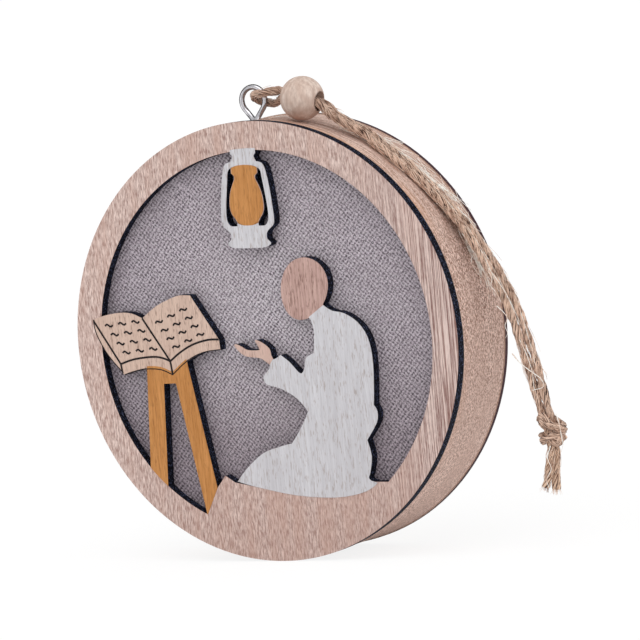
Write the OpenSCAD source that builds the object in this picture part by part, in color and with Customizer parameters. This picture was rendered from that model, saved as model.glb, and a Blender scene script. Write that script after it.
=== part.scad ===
// Round wooden lantern-box ornament: a laser-cut and printed front sheet over a fabric screen,
// a deep wooden rim, a back sheet with a small light module, and a jute loop with a bead on a screw eye.
// Millimetres, +Z up, the front faces -Y. The origin is the centre of the screw eye's ring.
// Outline tables are shares of the plate's radius, read from the centre of the front sheet.

/* [Box] */
// Radius of the front and back sheets
plate_r = 60; // [45:1:90]
// Thickness of the front sheet
plate_t = 3; // [2:0.1:5]
// Thickness of the back sheet
back_t = 1.5; // [1.2:0.1:4]
// Width of the front sheet's outer ring
ring_w = 7.8; // [6.5:0.1:9.5]
// Depth of the whole box, front face to back face
box_depth = 28; // [24:0.5:45]
// Wall of the wooden rim
rim_wall = 6; // [5:0.1:9]
// How far the rim stands in from the edge of the sheets
rim_inset = 0.3; // [0.1:0.1:1]
// Thickness of the fabric screen
fabric_t = 0.4; // [0.2:0.1:1]

/* [Prints] */
// Thickness of a printed paint layer
print_t = 0.12; // [0.05:0.01:0.3]
// Thickness of the black line print on top
line_t = 0.06; // [0.03:0.01:0.2]
// Width of the book's outline strokes
line_w = 0.54; // [0.3:0.02:0.7]
// How far the gold of the stand laps over the foot of the book
gold_lap = 0.9; // [0.2:0.1:1.5]
// Bare edge left beside the gold glass of the lantern
glass_margin = 0.2; // [0.1:0.05:0.5]

/* [Screw eye] */
// Outside width of the eye, over its round top
eye_d = 8.8; // [8.4:0.1:9.6]
// Diameter of the eye's wire
eye_wire = 1.5; // [1:0.1:1.5]
// Height of the eye's centre over the rim's surface
eye_rise = 4.8; // [4.7:0.1:5.2]
// Height of the round top's middle over the eye's centre
eye_top = 0.45; // [0:0.05:0.8]
// Depth under the rim's surface at which the two legs of the eye meet
eye_sink = 0.6; // [0.2:0.1:1]
// Distance of the eye behind the front face
eye_back = 10; // [8:0.5:16]
// Distance of the eye to the left of the box's centre line
eye_left = 2; // [0:0.5:6]
// Outside diameter of the thread
thread_d = 1.9; // [1.7:0.1:2.4]
// Length of the thread inside the rim
thread_l = 4.6; // [3:0.2:4.8]
// Distance between the thread's crests
thread_pitch = 0.9; // [0.7:0.1:1.2]

/* [Bead] */
// Diameter of the wooden bead
bead_d = 12; // [10:0.5:12.5]
// Diameter of the bead's hole
bead_hole_d = 5; // [5:0.1:6]
// Gap between the bead and the rim
bead_gap = 0.3; // [0.2:0.1:1]
// Angle of the bead round the rim, from the box's top
bead_angle = 11.7; // [11:0.1:13]

/* [Twine] */
// Diameter of one strand of twine
twine_d = 2.2; // [1.6:0.1:2.2]
// Distance between the two strands inside the bead
twine_pair = 2.3; // [2.3:0.05:2.4]
// Width of the knot, side to side
knot_w = 9; // [7:0.5:11]
// Thickness of the knot, front to back
knot_t = 6.8; // [5:0.2:8]
// Height of the knot
knot_h = 9.2; // [8.2:0.2:9.8]
// How far the knot bulges to the right of the twine's line
knot_bulge = 0.9; // [0:0.1:1.5]

/* [Light module] */
// Radius of the module's collar in the back sheet
collar_r = 22; // [20:0.5:24]
// How far the flange inside the back sheet reaches past the collar
flange_over = 5; // [4.5:0.1:8]
// Thickness of the flange
flange_t = 2; // [1.5:0.1:3]
// Radius of one coin cell
cell_r = 10; // [8:0.1:11]
// Thickness of one coin cell
cell_t = 3.2; // [2.5:0.1:4]
// Wall of the battery cup
cup_wall = 2; // [1.5:0.1:3]
// Floor of the battery cup
cup_floor = 1.5; // [1:0.1:3]
// Radius of the battery door
door_r = 12.4; // [12:0.1:13]
// Thickness of the battery door
door_t = 2.4; // [2.2:0.1:2.6]
// Width of the coin slot in the door
coin_slot_w = 1.8; // [1.4:0.1:2.4]
// Length of the coin slot in the door
coin_slot_l = 15; // [10:0.5:18]
// Angle that the door turns between locked and free
door_turn = 30; // [20:1:40]
// Height of the space between the flange and the light board
board_rise = 3.5; // [3.2:0.1:5]
// Thickness of the light board
board_t = 1.2; // [0.8:0.1:1.6]
// Number of light-emitting diodes
led_count = 6; // [3:1:8]
// Radius of one diode
led_r = 1.5; // [1:0.1:2.5]
// Travel of the switch
switch_travel = 2; // [1.5:0.1:3]

/* [Hidden] */
$fn = 96;

// Overrun of every cut
cut = 0.5;
// Radius of the round opening in the front sheet
opening_r = plate_r - ring_w;
// Radius of the rim's outside and inside
rim_r = plate_r - rim_inset;
rim_in_r = rim_r - rim_wall;
// How far the fabric stops short of the sheets' edge
fabric_inset = 0.1;
// How far the scene's pieces run into the ring that carries them
root_share = 0.93;
// How far the lantern's paint reaches onto the ring
paint_over = 0.5;
// Front of the rim and front of the back sheet
rim_y = plate_t + fabric_t;
back_y = box_depth - back_t;

// Steps of the curve between two points of an outline
steps = 3;

// Lantern: half outline from its own axis, going down the right side
lantern_x_share = -0.0185;
lantern_mid_share = 0.65;
lantern_tilt = -1.1;
lantern_cap_shares = [
  [0.066, 0.93], [0.066, 0.856]
];
lantern_neck_shares = [
  [0.066, 0.856], [0.0575, 0.846], [0.0575, 0.838], [0.067, 0.819]
];
lantern_side_shares = [
  [0.067, 0.819], [0.095, 0.811], [0.111, 0.782], [0.1255, 0.705], [0.1365, 0.598], [0.138, 0.548],
  [0.130, 0.528], [0.102, 0.505], [0.093, 0.484], [0.096, 0.466]
];
lantern_foot_shares = [
  [0.096, 0.466], [0.113, 0.45], [0.104, 0.438], [0.075, 0.429], [0, 0.4275]
];
// Slot beside the lantern's glass: outer edge down, inner edge up
slot_outer_shares = [
  [0.076, 0.789], [0.087, 0.772], [0.094, 0.723], [0.103, 0.66], [0.109, 0.607], [0.11, 0.567],
  [0.104, 0.544], [0.092, 0.531], [0.078, 0.528], [0.056, 0.528]
];
slot_inner_shares = [
  [0.055, 0.541], [0.066, 0.561], [0.08, 0.579], [0.0885, 0.6], [0.0908, 0.627], [0.087, 0.6625],
  [0.0795, 0.691], [0.067, 0.7205], [0.0566, 0.741], [0.0563, 0.755]
];
slot_neck_shares = [
  [0.07, 0.767], [0.07, 0.789]
];
// Gold glass: ends of its arched top and bottom edges
glass_top_shares = [
  [0.0697, 0.793], [0.04, 0.802], [0, 0.805]
];
glass_foot_shares = [
  [0, 0.53], [0.03, 0.532], [0.0548, 0.541]
];

// Open book: its outline in stretches between corners
book_left_top_shares = [
  [-0.904, 0.133], [-0.839, 0.151], [-0.755, 0.161], [-0.69, 0.155], [-0.635, 0.131]
];
book_right_top_shares = [
  [-0.635, 0.131], [-0.55, 0.1855], [-0.4495, 0.223], [-0.405, 0.2285], [-0.366, 0.226]
];
book_right_side_shares = [
  [-0.366, 0.226], [-0.234, 0.02], [-0.231, -0.029]
];
book_right_foot_shares = [
  [-0.231, -0.029], [-0.3216, -0.038], [-0.4106, -0.073], [-0.4985, -0.136]
];
book_left_foot_shares = [
  [-0.4985, -0.136], [-0.561, -0.11], [-0.644, -0.105], [-0.7, -0.113], [-0.758, -0.1275]
];
book_left_side_shares = [
  [-0.769, -0.118], [-0.839, -0.037], [-0.88, 0.034], [-0.9, 0.088], [-0.904, 0.133]
];
// Pages' lower edges, the left page's outer edge and the spine
page_left_edge_shares = [
  [-0.904, 0.133], [-0.775, -0.076]
];
page_left_foot_shares = [
  [-0.775, -0.076], [-0.7, -0.056], [-0.6, -0.048], [-0.545, -0.055], [-0.5045, -0.071]
];
page_right_foot_shares = [
  [-0.5045, -0.071], [-0.4495, -0.034], [-0.377, 0.001], [-0.294, 0.02], [-0.234, 0.02]
];
page_left_drop_shares = [
  [-0.775, -0.076], [-0.769, -0.118]
];
spine_shares = [
  [-0.635, 0.131], [-0.5045, -0.071]
];
spine_drop_shares = [
  [-0.5045, -0.071], [-0.4985, -0.13]
];
// Rows of small waves that stand for writing: start, step along a row, step to the next row
left_rows_start_shares = [-0.82, 0.104];
left_rows_along_shares = [0.0735, 0.006];
left_rows_down_shares = [0.0275, -0.0425];
right_rows_start_shares = [-0.545, 0.112];
right_rows_along_shares = [0.068, 0.0255];
right_rows_down_shares = [0.0265, -0.039];
wave_len_share = 0.042;
wave_high_share = 0.0065;
wave_w_share = 0.0085;
left_rows = 4;
right_rows = 4;
row_waves = 3;
wave_steps = 8;

// Stand under the book: two straight legs and the bar that joins them
left_leg_shares = [
  [-0.62, 0.05], [-0.6355, -0.106], [-0.667, -0.563], [-0.69, -0.63], [-0.592, -0.72],
  [-0.582, -0.646], [-0.5514, -0.1738], [-0.54, 0.02]
];
right_leg_shares = [
  [-0.52, 0.02], [-0.486, -0.1738], [-0.384, -0.783], [-0.33, -0.83], [-0.24, -0.8], [-0.317, -0.659],
  [-0.4115, -0.106], [-0.43, 0.02]
];
stand_bar_shares = [
  [-0.6, 0], [-0.59, -0.1738], [-0.45, -0.1738], [-0.45, 0]
];

// Ground line, from the ring on the left to the ring on the right
ground_left_shares = [
  [-0.45, -0.905], [-0.317, -0.659], [-0.2695, -0.604], [-0.2207, -0.636]
];
ground_right_shares = [
  [0.494, -0.6407], [0.514, -0.646], [0.7, -0.6495]
];
ground_floor_shares = [
  [0.7, -1], [-0.45, -1]
];

// Kneeling robe, from its front hem up the arm, over the shoulder and down the back
robe_thigh_shares = [
  [-0.206, -0.632], [-0.146, -0.571], [-0.053, -0.504], [0.05, -0.474], [0.1007, -0.464]
];
robe_lap_shares = [
  [0.1007, -0.464], [0.15, -0.403], [0.2, -0.327]
];
robe_sleeve_shares = [
  [0.2, -0.32], [0.154, -0.264], [0.074, -0.2155], [0.0007, -0.194], [-0.016, -0.173],
  [-0.01, -0.15], [0.0207, -0.12]
];
robe_cuff_shares = [
  [0.0235, -0.103], [0.0405, -0.081], [0.062, -0.075], [0.084, -0.061]
];
robe_arm_shares = [
  [0.084, -0.061], [0.1273, -0.094], [0.1707, -0.142], [0.19, -0.145], [0.204, -0.121],
  [0.2095, -0.086], [0.225, -0.072], [0.2593, -0.0573]
];
robe_chest_shares = [
  [0.2593, -0.0573], [0.2675, -0.0007], [0.2705, 0.045], [0.262, 0.086], [0.2507, 0.1]
];
robe_collar_shares = [
  [0.2507, 0.1047], [0.3307, 0.156]
];
robe_back_shares = [
  [0.3307, 0.156], [0.374, 0.1293], [0.434, 0.116], [0.5007, 0.0727], [0.544, 0.006],
  [0.5593, -0.0807], [0.5565, -0.18], [0.5447, -0.3007]
];
robe_seat_shares = [
  [0.5447, -0.3007], [0.5593, -0.3307], [0.5507, -0.3807], [0.494, -0.457]
];
robe_heel_shares = [
  [0.494, -0.457], [0.5093, -0.53], [0.494, -0.603], [0.484, -0.626], [0.494, -0.6407]
];
robe_hem_shares = [
  [0.527, -0.65], [0.5007, -0.6707], [0.434, -0.6973], [0.3, -0.714], [0.1007, -0.7007],
  [-0.0993, -0.6607], [-0.206, -0.632]
];

// Head: a plain egg leaning forward on a short neck, with no face
head_x_share = 0.237;
head_z_share = 0.232;
head_long_share = 0.145;
head_wide_share = 0.119;
head_egg_share = 0.1;
head_lean = 25;
head_steps = 36;
neck_shares = [
  [0.2, 0.17], [0.232, 0.115], [0.252, 0.1], [0.36, 0.1], [0.3307, 0.156], [0.335, 0.19], [0.345, 0.25]
];

// Open hand: fingers above, thumb, and back of the hand below
hand_fingers_shares = [
  [-0.156, -0.0073], [-0.142, -0.0054], [-0.1135, -0.0185], [-0.0846, -0.0335], [-0.0223, -0.037]
];
hand_thumb_shares = [
  [-0.0223, -0.034], [-0.0308, -0.015], [-0.0423, 0.0035], [-0.0365, 0.0108], [-0.004, -0.0035],
  [0.0288, -0.0304], [0.0354, -0.061]
];
hand_wrist_shares = [
  [0.0354, -0.061], [0.045, -0.085], [0.035, -0.105], [0.022, -0.103]
];
hand_palm_shares = [
  [0.022, -0.103], [0, -0.086], [-0.027, -0.072], [-0.1, -0.061], [-0.142, -0.0285], [-0.156, -0.0073]
];

// Screw eye and bead, from the box's centre
eye_ring_r = (eye_d - eye_wire) / 2;
eye_up = rim_r + eye_rise;
eye_foot = -eye_rise - eye_sink;
eye_leg_angle = asin(eye_ring_r / (eye_top - eye_foot));
eye_leg_l = eye_ring_r / tan(eye_leg_angle);
eye_lap_angle = 0.01;
thread_core_share = 0.72;
thread_crest_share = 0.25;
thread_core_r = thread_core_share * thread_d / 2;
thread_play = 0.05;
bead_up = rim_r + bead_gap + bead_d / 2;

// Twine: both strands start at the fold inside the eye, and run side by side to the knot
twine_sides = 8;
fold_rise_share = 0.6;
fold_front_route = [
  [0.3, 0, 1.1], [0.6, -0.9, 1.5], [1.7, -1.8, 2.1], [3.2, -2, 2.3], [5, -1.6, 2.5], [6.9, -0.8, 2.6]
];
fold_rear_route = [
  [0.3, 0, 1.1], [0.7, 0.9, 0.5], [1.8, 1.7, -0.1], [3.7, 2.1, -0.6], [5.4, 1.7, -0.8], [7.2, 0.8, -0.3]
];
pair_route = [
  [8.8, 0, 1.49], [10.4, 0, 1.16], [12, 0, 0.83], [13.6, 0, 0.5], [15.2, 0, 0.17], [16.8, 0, -0.16],
  [18.4, 0, -0.5], [20, 0, -0.9], [21.4, 0.05, -1.8], [23.4, 0.4, -3.8], [26, 1, -6.1], [28.5, 1.7, -7.9],
  [31.1, 2.3, -9.4], [33.7, 2.8, -11.4], [36.4, 3, -13.9], [39.3, 3, -16.1], [42.1, 3.1, -18.5],
  [44.8, 3.4, -21], [47.4, 3.8, -23.7], [50.2, 4.2, -26.7], [52.7, 4.6, -29.4], [55.6, 4.9, -32.8],
  [59, 5.1, -37.4], [62.3, 5.1, -42.4], [65.4, 5, -47.3], [68.2, 4.7, -52.2], [70.6, 4.4, -57.1],
  [72.5, 4.1, -61.9], [74.1, 3.8, -66.8], [75.6, 3.5, -71.6], [76.8, 3.2, -76.4], [77.9, 3, -81.2],
  [79, 2.8, -85.6], [79.8, 2.7, -88.5]
];
// The strands lie one over the other at the bead's left mouth and side by side at its right one,
// drift apart over the rim, and turn about each other once they leave it
bead_turn = 90;
bead_turn_to = 6;
pair_swell_share = 0.25;
pair_swell_from = 8;
pair_swell_to = 21;
pair_turn_from = 21;
pair_turn = 100;
knot_place = [80.2, 2.7, -91.9];
knot_lean_share = 0.25;
knot_end_share = 0.33;
tail_front_route = [
  [80.7, 1.5, -95.3], [80.6, 1.45, -97.9], [79.7, 1.4, -102.7], [78.3, 1.3, -107.2]
];
tail_rear_route = [
  [80.9, 3.8, -95.6], [80.9, 3.75, -98.3], [80.4, 3.8, -103.1], [79.9, 4, -108.2]
];

// Light module, measured inwards from the back face
flange_r = collar_r + flange_over;
collar_recess = 0.3;
collar_play = 0.3;
door_recess = 0.5;
door_play = 0.2;
lug_reach = 1;
lug_t = 0.9;
lug_angle = 24;
lug_play = 3;
well_wall = 1.2;
door_count = 2;
coin_slot_deep = 1;
cell_count = 2;
cell_skin = 0.02;
contact_t = 0.3;
contact_w = 3;
contact_r = 2.6;
contact_spring = 0.5;
contact_play = 0.05;
contact_reach = 2.4;
slit_play = 0.1;
door_in = door_recess + door_t;
seat_in = door_in + door_play;
cell_in = seat_in;
cell_out = cell_in + cell_count * cell_t;
floor_in = cell_out + contact_spring + contact_t;
well_in = seat_in + cup_floor;
well_r = door_r + lug_reach + door_play + well_wall;
cup_in = floor_in + cup_floor;
strip_in_r = cell_r + contact_play;
pocket_r = norm([strip_in_r + contact_t, contact_w / 2]) + contact_play;
cup_r = pocket_r + cup_wall;
flange_in = back_t + flange_t;
board_in = flange_in + board_rise;
board_front = board_in + board_t;
board_play = 0.3;
board_inset = 0.3;
post_r = 2.2;
post_count = 3;
post_edge = 0.6;
post_place_r = flange_r - post_r - post_edge;
screw_r = 0.95;
screw_play = 0.03;
screw_head_r = 1.9;
screw_head_h = 1.3;
screw_skin = 0.4;
screw_slot_w = 0.5;
screw_slot_deep = 0.6;
board_hole_play = 0.2;
led_place_r = (cup_r + flange_r) / 2;
led_base_over = 0.25;
led_base_r = led_r + led_base_over;
led_base_h = 0.6;
led_body_h = 2.4;
switch_long = 9;
switch_wide = 4.4;
switch_gap = 0.3;
switch_place_r = well_r + switch_gap + switch_wide / 2;
switch_shell = 0.9;
slider_stem_l = 1.8;
slider_stem_w = 1.6;
slider_play = 0.3;
slider_sink = 0.15;
slider_base_t = 0.8;
slider_base_over = 0.6;

// Points of a curve that runs through every point of a list
function at(p, i) = p[max(0, min(len(p) - 1, i))];
function spline(a, b, c, d, t) =
  0.5 * (2 * b + (c - a) * t + (2 * a - 5 * b + 4 * c - d) * t * t + (3 * b - a - 3 * c + d) * t * t * t);
function curve(p) = [
  for (i = [0 : len(p) - 2])
    for (k = [0 : steps - 1])
      spline(at(p, i - 1), p[i], p[i + 1], at(p, i + 2), k / steps)
];
function back_to_front(p) = [for (i = [len(p) - 1 : -1 : 0]) p[i]];
function mirrored(p) = [for (q = p) [-q[0], q[1]]];

// A ribbon of one width along a line of points
function heading(p, i) = at(p, i + 1) - at(p, i - 1);
function beside(p, i, w) = p[i] + w / 2 * [-heading(p, i)[1], heading(p, i)[0]] / norm(heading(p, i));
function ribbon(p, w) = concat(
  [for (i = [0 : len(p) - 1]) beside(p, i, w)],
  [for (i = [len(p) - 1 : -1 : 0]) beside(p, i, -w)]
);

// Rings of a tube, each turned as little as possible from the one before
function unit(v) = v / norm(v);
function tangent(p, i, first) = i == 0 ? first : unit(at(p, i + 1) - at(p, i - 1));
function square_to(n, t) = unit(n - (n * t) * t);
function normals(p, i, n, first) =
  let (m = square_to(n, tangent(p, i, first)))
  i == len(p) - 1 ? [m] : concat([m], normals(p, i + 1, m, first));
function ring_points(c, n, t, r) = [
  for (k = [0 : twine_sides - 1])
    c + r * (cos(360 * k / twine_sides) * n + sin(360 * k / twine_sides) * cross(t, n))
];

// Places a piece that is drawn from the centre of the front sheet's face
module in_box() {
  translate([eye_left, -eye_back, -eye_up]) children();
}

// A flat shape stood up in the X-Z plane, from y to y + t
module upright(y, t) {
  translate([0, y + t, 0]) rotate([90, 0, 0]) linear_extrude(t) children();
}

// A round bar along Y, from y0 to y1
module bar(y0, y1, r) {
  translate([0, y1, 0]) rotate([90, 0, 0]) cylinder(h = y1 - y0, r = r);
}

// The same, measured inwards from the back face
module back_bar(in0, in1, r) {
  bar(box_depth - in1, box_depth - in0, r);
}

// A box from inside depth in0 to in1 behind the back face
module back_box(x, z, in0, in1, long, high) {
  translate([x - long / 2, box_depth - in1, z - high / 2]) cube([long, in1 - in0, high]);
}

module shape(points) {
  polygon(plate_r * points);
}

module lantern_place() {
  centre = plate_r * [lantern_x_share, lantern_mid_share];
  translate(centre) rotate(lantern_tilt) translate([0, -plate_r * lantern_mid_share]) children();
}

module lantern_outline() {
  half = concat(
    lantern_cap_shares, curve(lantern_neck_shares), curve(lantern_side_shares),
    curve(lantern_foot_shares), [lantern_foot_shares[4]]
  );
  lantern_place() shape(concat(half, mirrored(back_to_front([for (i = [0 : len(half) - 2]) half[i]]))));
}

module lantern_slots() {
  edge = concat(curve(slot_outer_shares), [slot_outer_shares[9]], curve(slot_inner_shares),
    [slot_inner_shares[9]], slot_neck_shares);
  lantern_place() {
    shape(edge);
    shape(mirrored(edge));
  }
}

// The gold glass between the slots, drawn in from its sides by a bare margin
module glass_outline(margin) {
  side = concat(
    back_to_front(concat(curve(glass_top_shares), [glass_top_shares[2]])),
    back_to_front(slot_neck_shares),
    back_to_front(concat(curve(slot_inner_shares), [slot_inner_shares[9]])),
    back_to_front(concat(curve(glass_foot_shares), [glass_foot_shares[2]]))
  );
  half = [for (q = side) [max(0, q[0] - margin / plate_r), q[1]]];
  lantern_place() shape(concat(half, mirrored(back_to_front([for (i = [1 : len(half) - 2]) half[i]]))));
}

module book_outline() {
  shape(concat(
    curve(book_left_top_shares), curve(book_right_top_shares), [for (i = [0, 1]) book_right_side_shares[i]],
    curve(book_right_foot_shares), curve(book_left_foot_shares), [book_left_foot_shares[4]],
    curve(book_left_side_shares)
  ));
}

module stand_outline() {
  intersection() {
    union() {
      shape(left_leg_shares);
      shape(right_leg_shares);
      shape(stand_bar_shares);
    }
    circle(r = root_share * plate_r);
  }
}

module ground_outline() {
  intersection() {
    shape(concat(
      ground_left_shares, [for (i = [5 : -1 : 1]) robe_hem_shares[i]], ground_right_shares,
      ground_floor_shares
    ));
    circle(r = root_share * plate_r);
  }
}

module robe_outline() {
  shape(concat(
    curve(robe_thigh_shares), curve(robe_lap_shares), curve(robe_sleeve_shares), [robe_sleeve_shares[6]],
    robe_cuff_shares, curve(robe_arm_shares), curve(robe_chest_shares), robe_collar_shares,
    curve(robe_back_shares), curve(robe_seat_shares), curve(robe_heel_shares), [robe_heel_shares[4]],
    curve(robe_hem_shares)
  ));
}

module head_outline() {
  egg = [
    for (i = [0 : head_steps - 1])
      let (a = 360 * i / head_steps)
      [head_wide_share * cos(a) * (1 + head_egg_share * sin(a)), head_long_share * sin(a)]
  ];
  translate(plate_r * [head_x_share, head_z_share]) rotate(-head_lean) shape(egg);
  shape(neck_shares);
}

module hand_outline() {
  shape(concat(
    curve(hand_fingers_shares), curve(hand_thumb_shares), curve(hand_wrist_shares), curve(hand_palm_shares)
  ));
}

module front_plate() color([0.80, 0.69, 0.62]) in_box() {
  difference() {
    bar(0, plate_t, plate_r);
    bar(-cut, plate_t + cut, opening_r);
  }
  upright(0, plate_t) difference() {
    lantern_outline();
    lantern_slots();
  }
  upright(0, plate_t) book_outline();
  upright(0, plate_t) stand_outline();
  upright(0, plate_t) ground_outline();
  upright(0, plate_t) robe_outline();
  upright(0, plate_t) head_outline();
  upright(0, plate_t) hand_outline();
}

// Prints lie on the front face
module printed(t) {
  in_box() upright(-t, t) children();
}

module robe_print() color([0.86, 0.87, 0.88]) printed(print_t) robe_outline();

module head_print() color([0.78, 0.62, 0.53]) printed(print_t) difference() {
  head_outline();
  robe_outline();
}

module hand_print() color([0.88, 0.74, 0.64]) printed(print_t) difference() {
  hand_outline();
  robe_outline();
}

// The strip at the foot of the book that the stand's gold laps over
module lap_outline() {
  difference() {
    intersection() {
      stand_outline();
      book_outline();
    }
    translate([0, gold_lap]) book_outline();
  }
}

module book_print() color([0.86, 0.74, 0.66]) printed(print_t) difference() {
  book_outline();
  lap_outline();
}

module wave_rows(start, along, down, rows) {
  slope = atan2(along[1], along[0]);
  wave = [
    for (i = [0 : wave_steps])
      [wave_len_share * (i / wave_steps - 0.5), wave_high_share * sin(360 * i / wave_steps)]
  ];
  for (row = [0 : rows - 1])
    for (i = [0 : row_waves - 1])
      translate(plate_r * (start + i * along + row * down)) rotate(slope)
        shape(ribbon(wave, wave_w_share));
}

module book_line(points) {
  polygon(ribbon(plate_r * points, line_w));
}

module book_lines() color([0.13, 0.1, 0.1]) in_box() upright(-print_t - line_t, line_t) {
  intersection() {
    union() {
      book_line(page_left_edge_shares);
      book_line(concat(curve(page_left_foot_shares), [page_left_foot_shares[4]]));
      book_line(concat(curve(page_right_foot_shares), [page_right_foot_shares[4]]));
      book_line(page_left_drop_shares);
      book_line(spine_shares);
      book_line(spine_drop_shares);
      book_line(concat(curve(book_left_side_shares), [book_left_side_shares[4]]));
      book_line(concat(curve(book_left_foot_shares), [book_left_foot_shares[4]]));
      book_line(concat(curve(book_right_foot_shares), [book_right_foot_shares[3]]));
      wave_rows(left_rows_start_shares, left_rows_along_shares, left_rows_down_shares, left_rows);
      wave_rows(right_rows_start_shares, right_rows_along_shares, right_rows_down_shares, right_rows);
    }
    book_outline();
  }
}

module stand_print() color([0.80, 0.57, 0.27]) printed(print_t) difference() {
  intersection() {
    stand_outline();
    circle(r = opening_r);
  }
  intersection() {
    book_outline();
    translate([0, gold_lap]) book_outline();
  }
  ground_outline();
}

module lantern_print() color([0.86, 0.87, 0.88]) printed(print_t) difference() {
  intersection() {
    lantern_outline();
    circle(r = opening_r + paint_over);
  }
  lantern_slots();
  glass_outline(0);
}

module lantern_glass_print() color([0.80, 0.57, 0.27]) printed(print_t) glass_outline(glass_margin);

module fabric_screen() color([0.60, 0.57, 0.58]) in_box() bar(plate_t, rim_y, plate_r - fabric_inset);

module rim_band() color([0.78, 0.65, 0.57]) in_box() difference() {
  bar(rim_y, back_y, rim_r);
  bar(rim_y - cut, back_y + cut, rim_in_r);
  translate([-eye_left, eye_back, eye_up]) {
    translate([0, 0, -eye_rise - thread_l - thread_play])
      cylinder(h = thread_l + eye_rise, r = thread_d / 2 + thread_play);
    eye_legs(thread_play);
  }
}

module back_plate() color([0.80, 0.69, 0.62]) in_box() difference() {
  bar(back_y, box_depth, plate_r);
  bar(back_y - cut, box_depth + cut, collar_r + collar_play);
  posts_at() back_bar(screw_skin - screw_play, back_t + cut, screw_r + screw_play);
}

// The straight legs of the eye, from its round top to the point where they meet
module eye_legs(play) {
  for (s = [-1, 1])
    translate([0, 0, eye_foot]) rotate([0, s * eye_leg_angle, 0]) translate([0, 0, -play])
      cylinder(h = eye_leg_l + play, r = eye_wire / 2 + play);
}

module screw_eye() color([0.72, 0.72, 0.74]) {
  arc_from = -eye_leg_angle - eye_lap_angle;
  translate([0, 0, eye_top]) rotate([90, 0, 0]) rotate(arc_from) rotate_extrude(angle = 180 - 2 * arc_from)
    translate([eye_ring_r, 0]) circle(r = eye_wire / 2);
  eye_legs(0);
  translate([0, 0, -eye_rise - thread_l]) rotate_extrude() polygon(concat(
    [[0, 0]],
    [
      for (i = [1 : floor(thread_l / thread_pitch)])
        for (k = [0, 1, 2])
          [k == 1 ? thread_d / 2 : thread_core_r, thread_pitch * (i - 0.5 + thread_crest_share * (k - 1))]
    ],
    [[thread_core_r, thread_l], [0, thread_l]]
  ));
}

module bead_place() {
  in_box() translate([0, eye_back, 0]) rotate([0, bead_angle, 0]) translate([0, 0, bead_up]) children();
}

module bead() color([0.85, 0.72, 0.58]) bead_place() rotate([0, 90, 0]) rotate_extrude() difference() {
  circle(r = bead_d / 2);
  translate([-bead_d, -bead_d]) square([bead_d + bead_hole_d / 2, 2 * bead_d]);
}

function sweep_points(p, n, first) = [
  for (i = [0 : len(p) - 1]) each ring_points(p[i], n[i], tangent(p, i, first), twine_d / 2)
];
function sweep_faces(rings) = concat(
  [[for (k = [twine_sides - 1 : -1 : 0]) k]],
  [
    for (i = [0 : rings - 2])
      for (k = [0 : twine_sides - 1])
        for (half = [0, 1])
          let (a = i * twine_sides + k, b = i * twine_sides + (k + 1) % twine_sides)
          half == 0 ? [a, b, b + twine_sides] : [a, b + twine_sides, a + twine_sides]
  ],
  [[for (k = [0 : twine_sides - 1]) (rings - 1) * twine_sides + k]]
);

// One strand: every ring is square to the route, and the first one to a given direction square to X
module strand(p, first) {
  polyhedron(points = sweep_points(p, normals(p, 0, [1, 0, 0], first), first), faces = sweep_faces(len(p)));
}

function pair_part(i, from, to) = max(0, min(1, (i - from) / (to - from)));
function pair_side(i) =
  let (
    out = unit(cross(tangent(pair_route, i, [1, 0, 0]), [0, 1, 0])),
    turn = bead_turn * (pair_part(i, 0, bead_turn_to) - 1)
      + pair_turn * pair_part(i, pair_turn_from, len(pair_route) - 1),
    swell = pair_swell_share * sin(180 * pair_part(i, pair_swell_from, pair_swell_to))
  )
  twine_pair / 2 * (1 + swell) * (cos(turn) * [0, 1, 0] + sin(turn) * out);
function pair_strand(side) = [for (i = [0 : len(pair_route) - 1]) pair_route[i] + side * pair_side(i)];

module twine_front() color([0.72, 0.60, 0.45])
  strand(concat(fold_front_route, pair_strand(-1)), unit([0, -1, fold_rise_share]));

module twine_rear() color([0.72, 0.60, 0.45])
  strand(concat(fold_rear_route, pair_strand(1)), unit([0, 1, -fold_rise_share]));

module twine_tails() color([0.72, 0.60, 0.45]) {
  strand(tail_front_route, [0, 0, -1]);
  strand(tail_rear_route, [0, 0, -1]);
}

module twine_knot() color([0.72, 0.60, 0.45]) translate(knot_place) hull() {
  side = (knot_w - knot_t) / 2;
  end_r = knot_end_share * knot_t;
  for (s = [-1, 1])
    translate([knot_bulge, 0, 0] + s * [side, 0, knot_lean_share * (knot_w - knot_t)])
      sphere(r = knot_t / 2, $fn = 24);
  for (s = [-1, 1])
    translate([0, 0, s * (knot_h / 2 - end_r)]) sphere(r = end_r, $fn = 24);
}

module posts_at() {
  for (i = [0 : post_count - 1])
    rotate([0, 90 + 360 * i / post_count, 0]) translate([-post_place_r, 0, 0]) children();
}

// A ring sector about the module's axis, from angle a over an arc, between two depths
module sector(in0, in1, r0, r1, a, arc) {
  translate([0, box_depth - in0, 0]) rotate([90, 0, 0]) rotate(a) rotate_extrude(angle = arc)
    translate([r0, 0]) square([r1 - r0, in1 - in0]);
}

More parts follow.
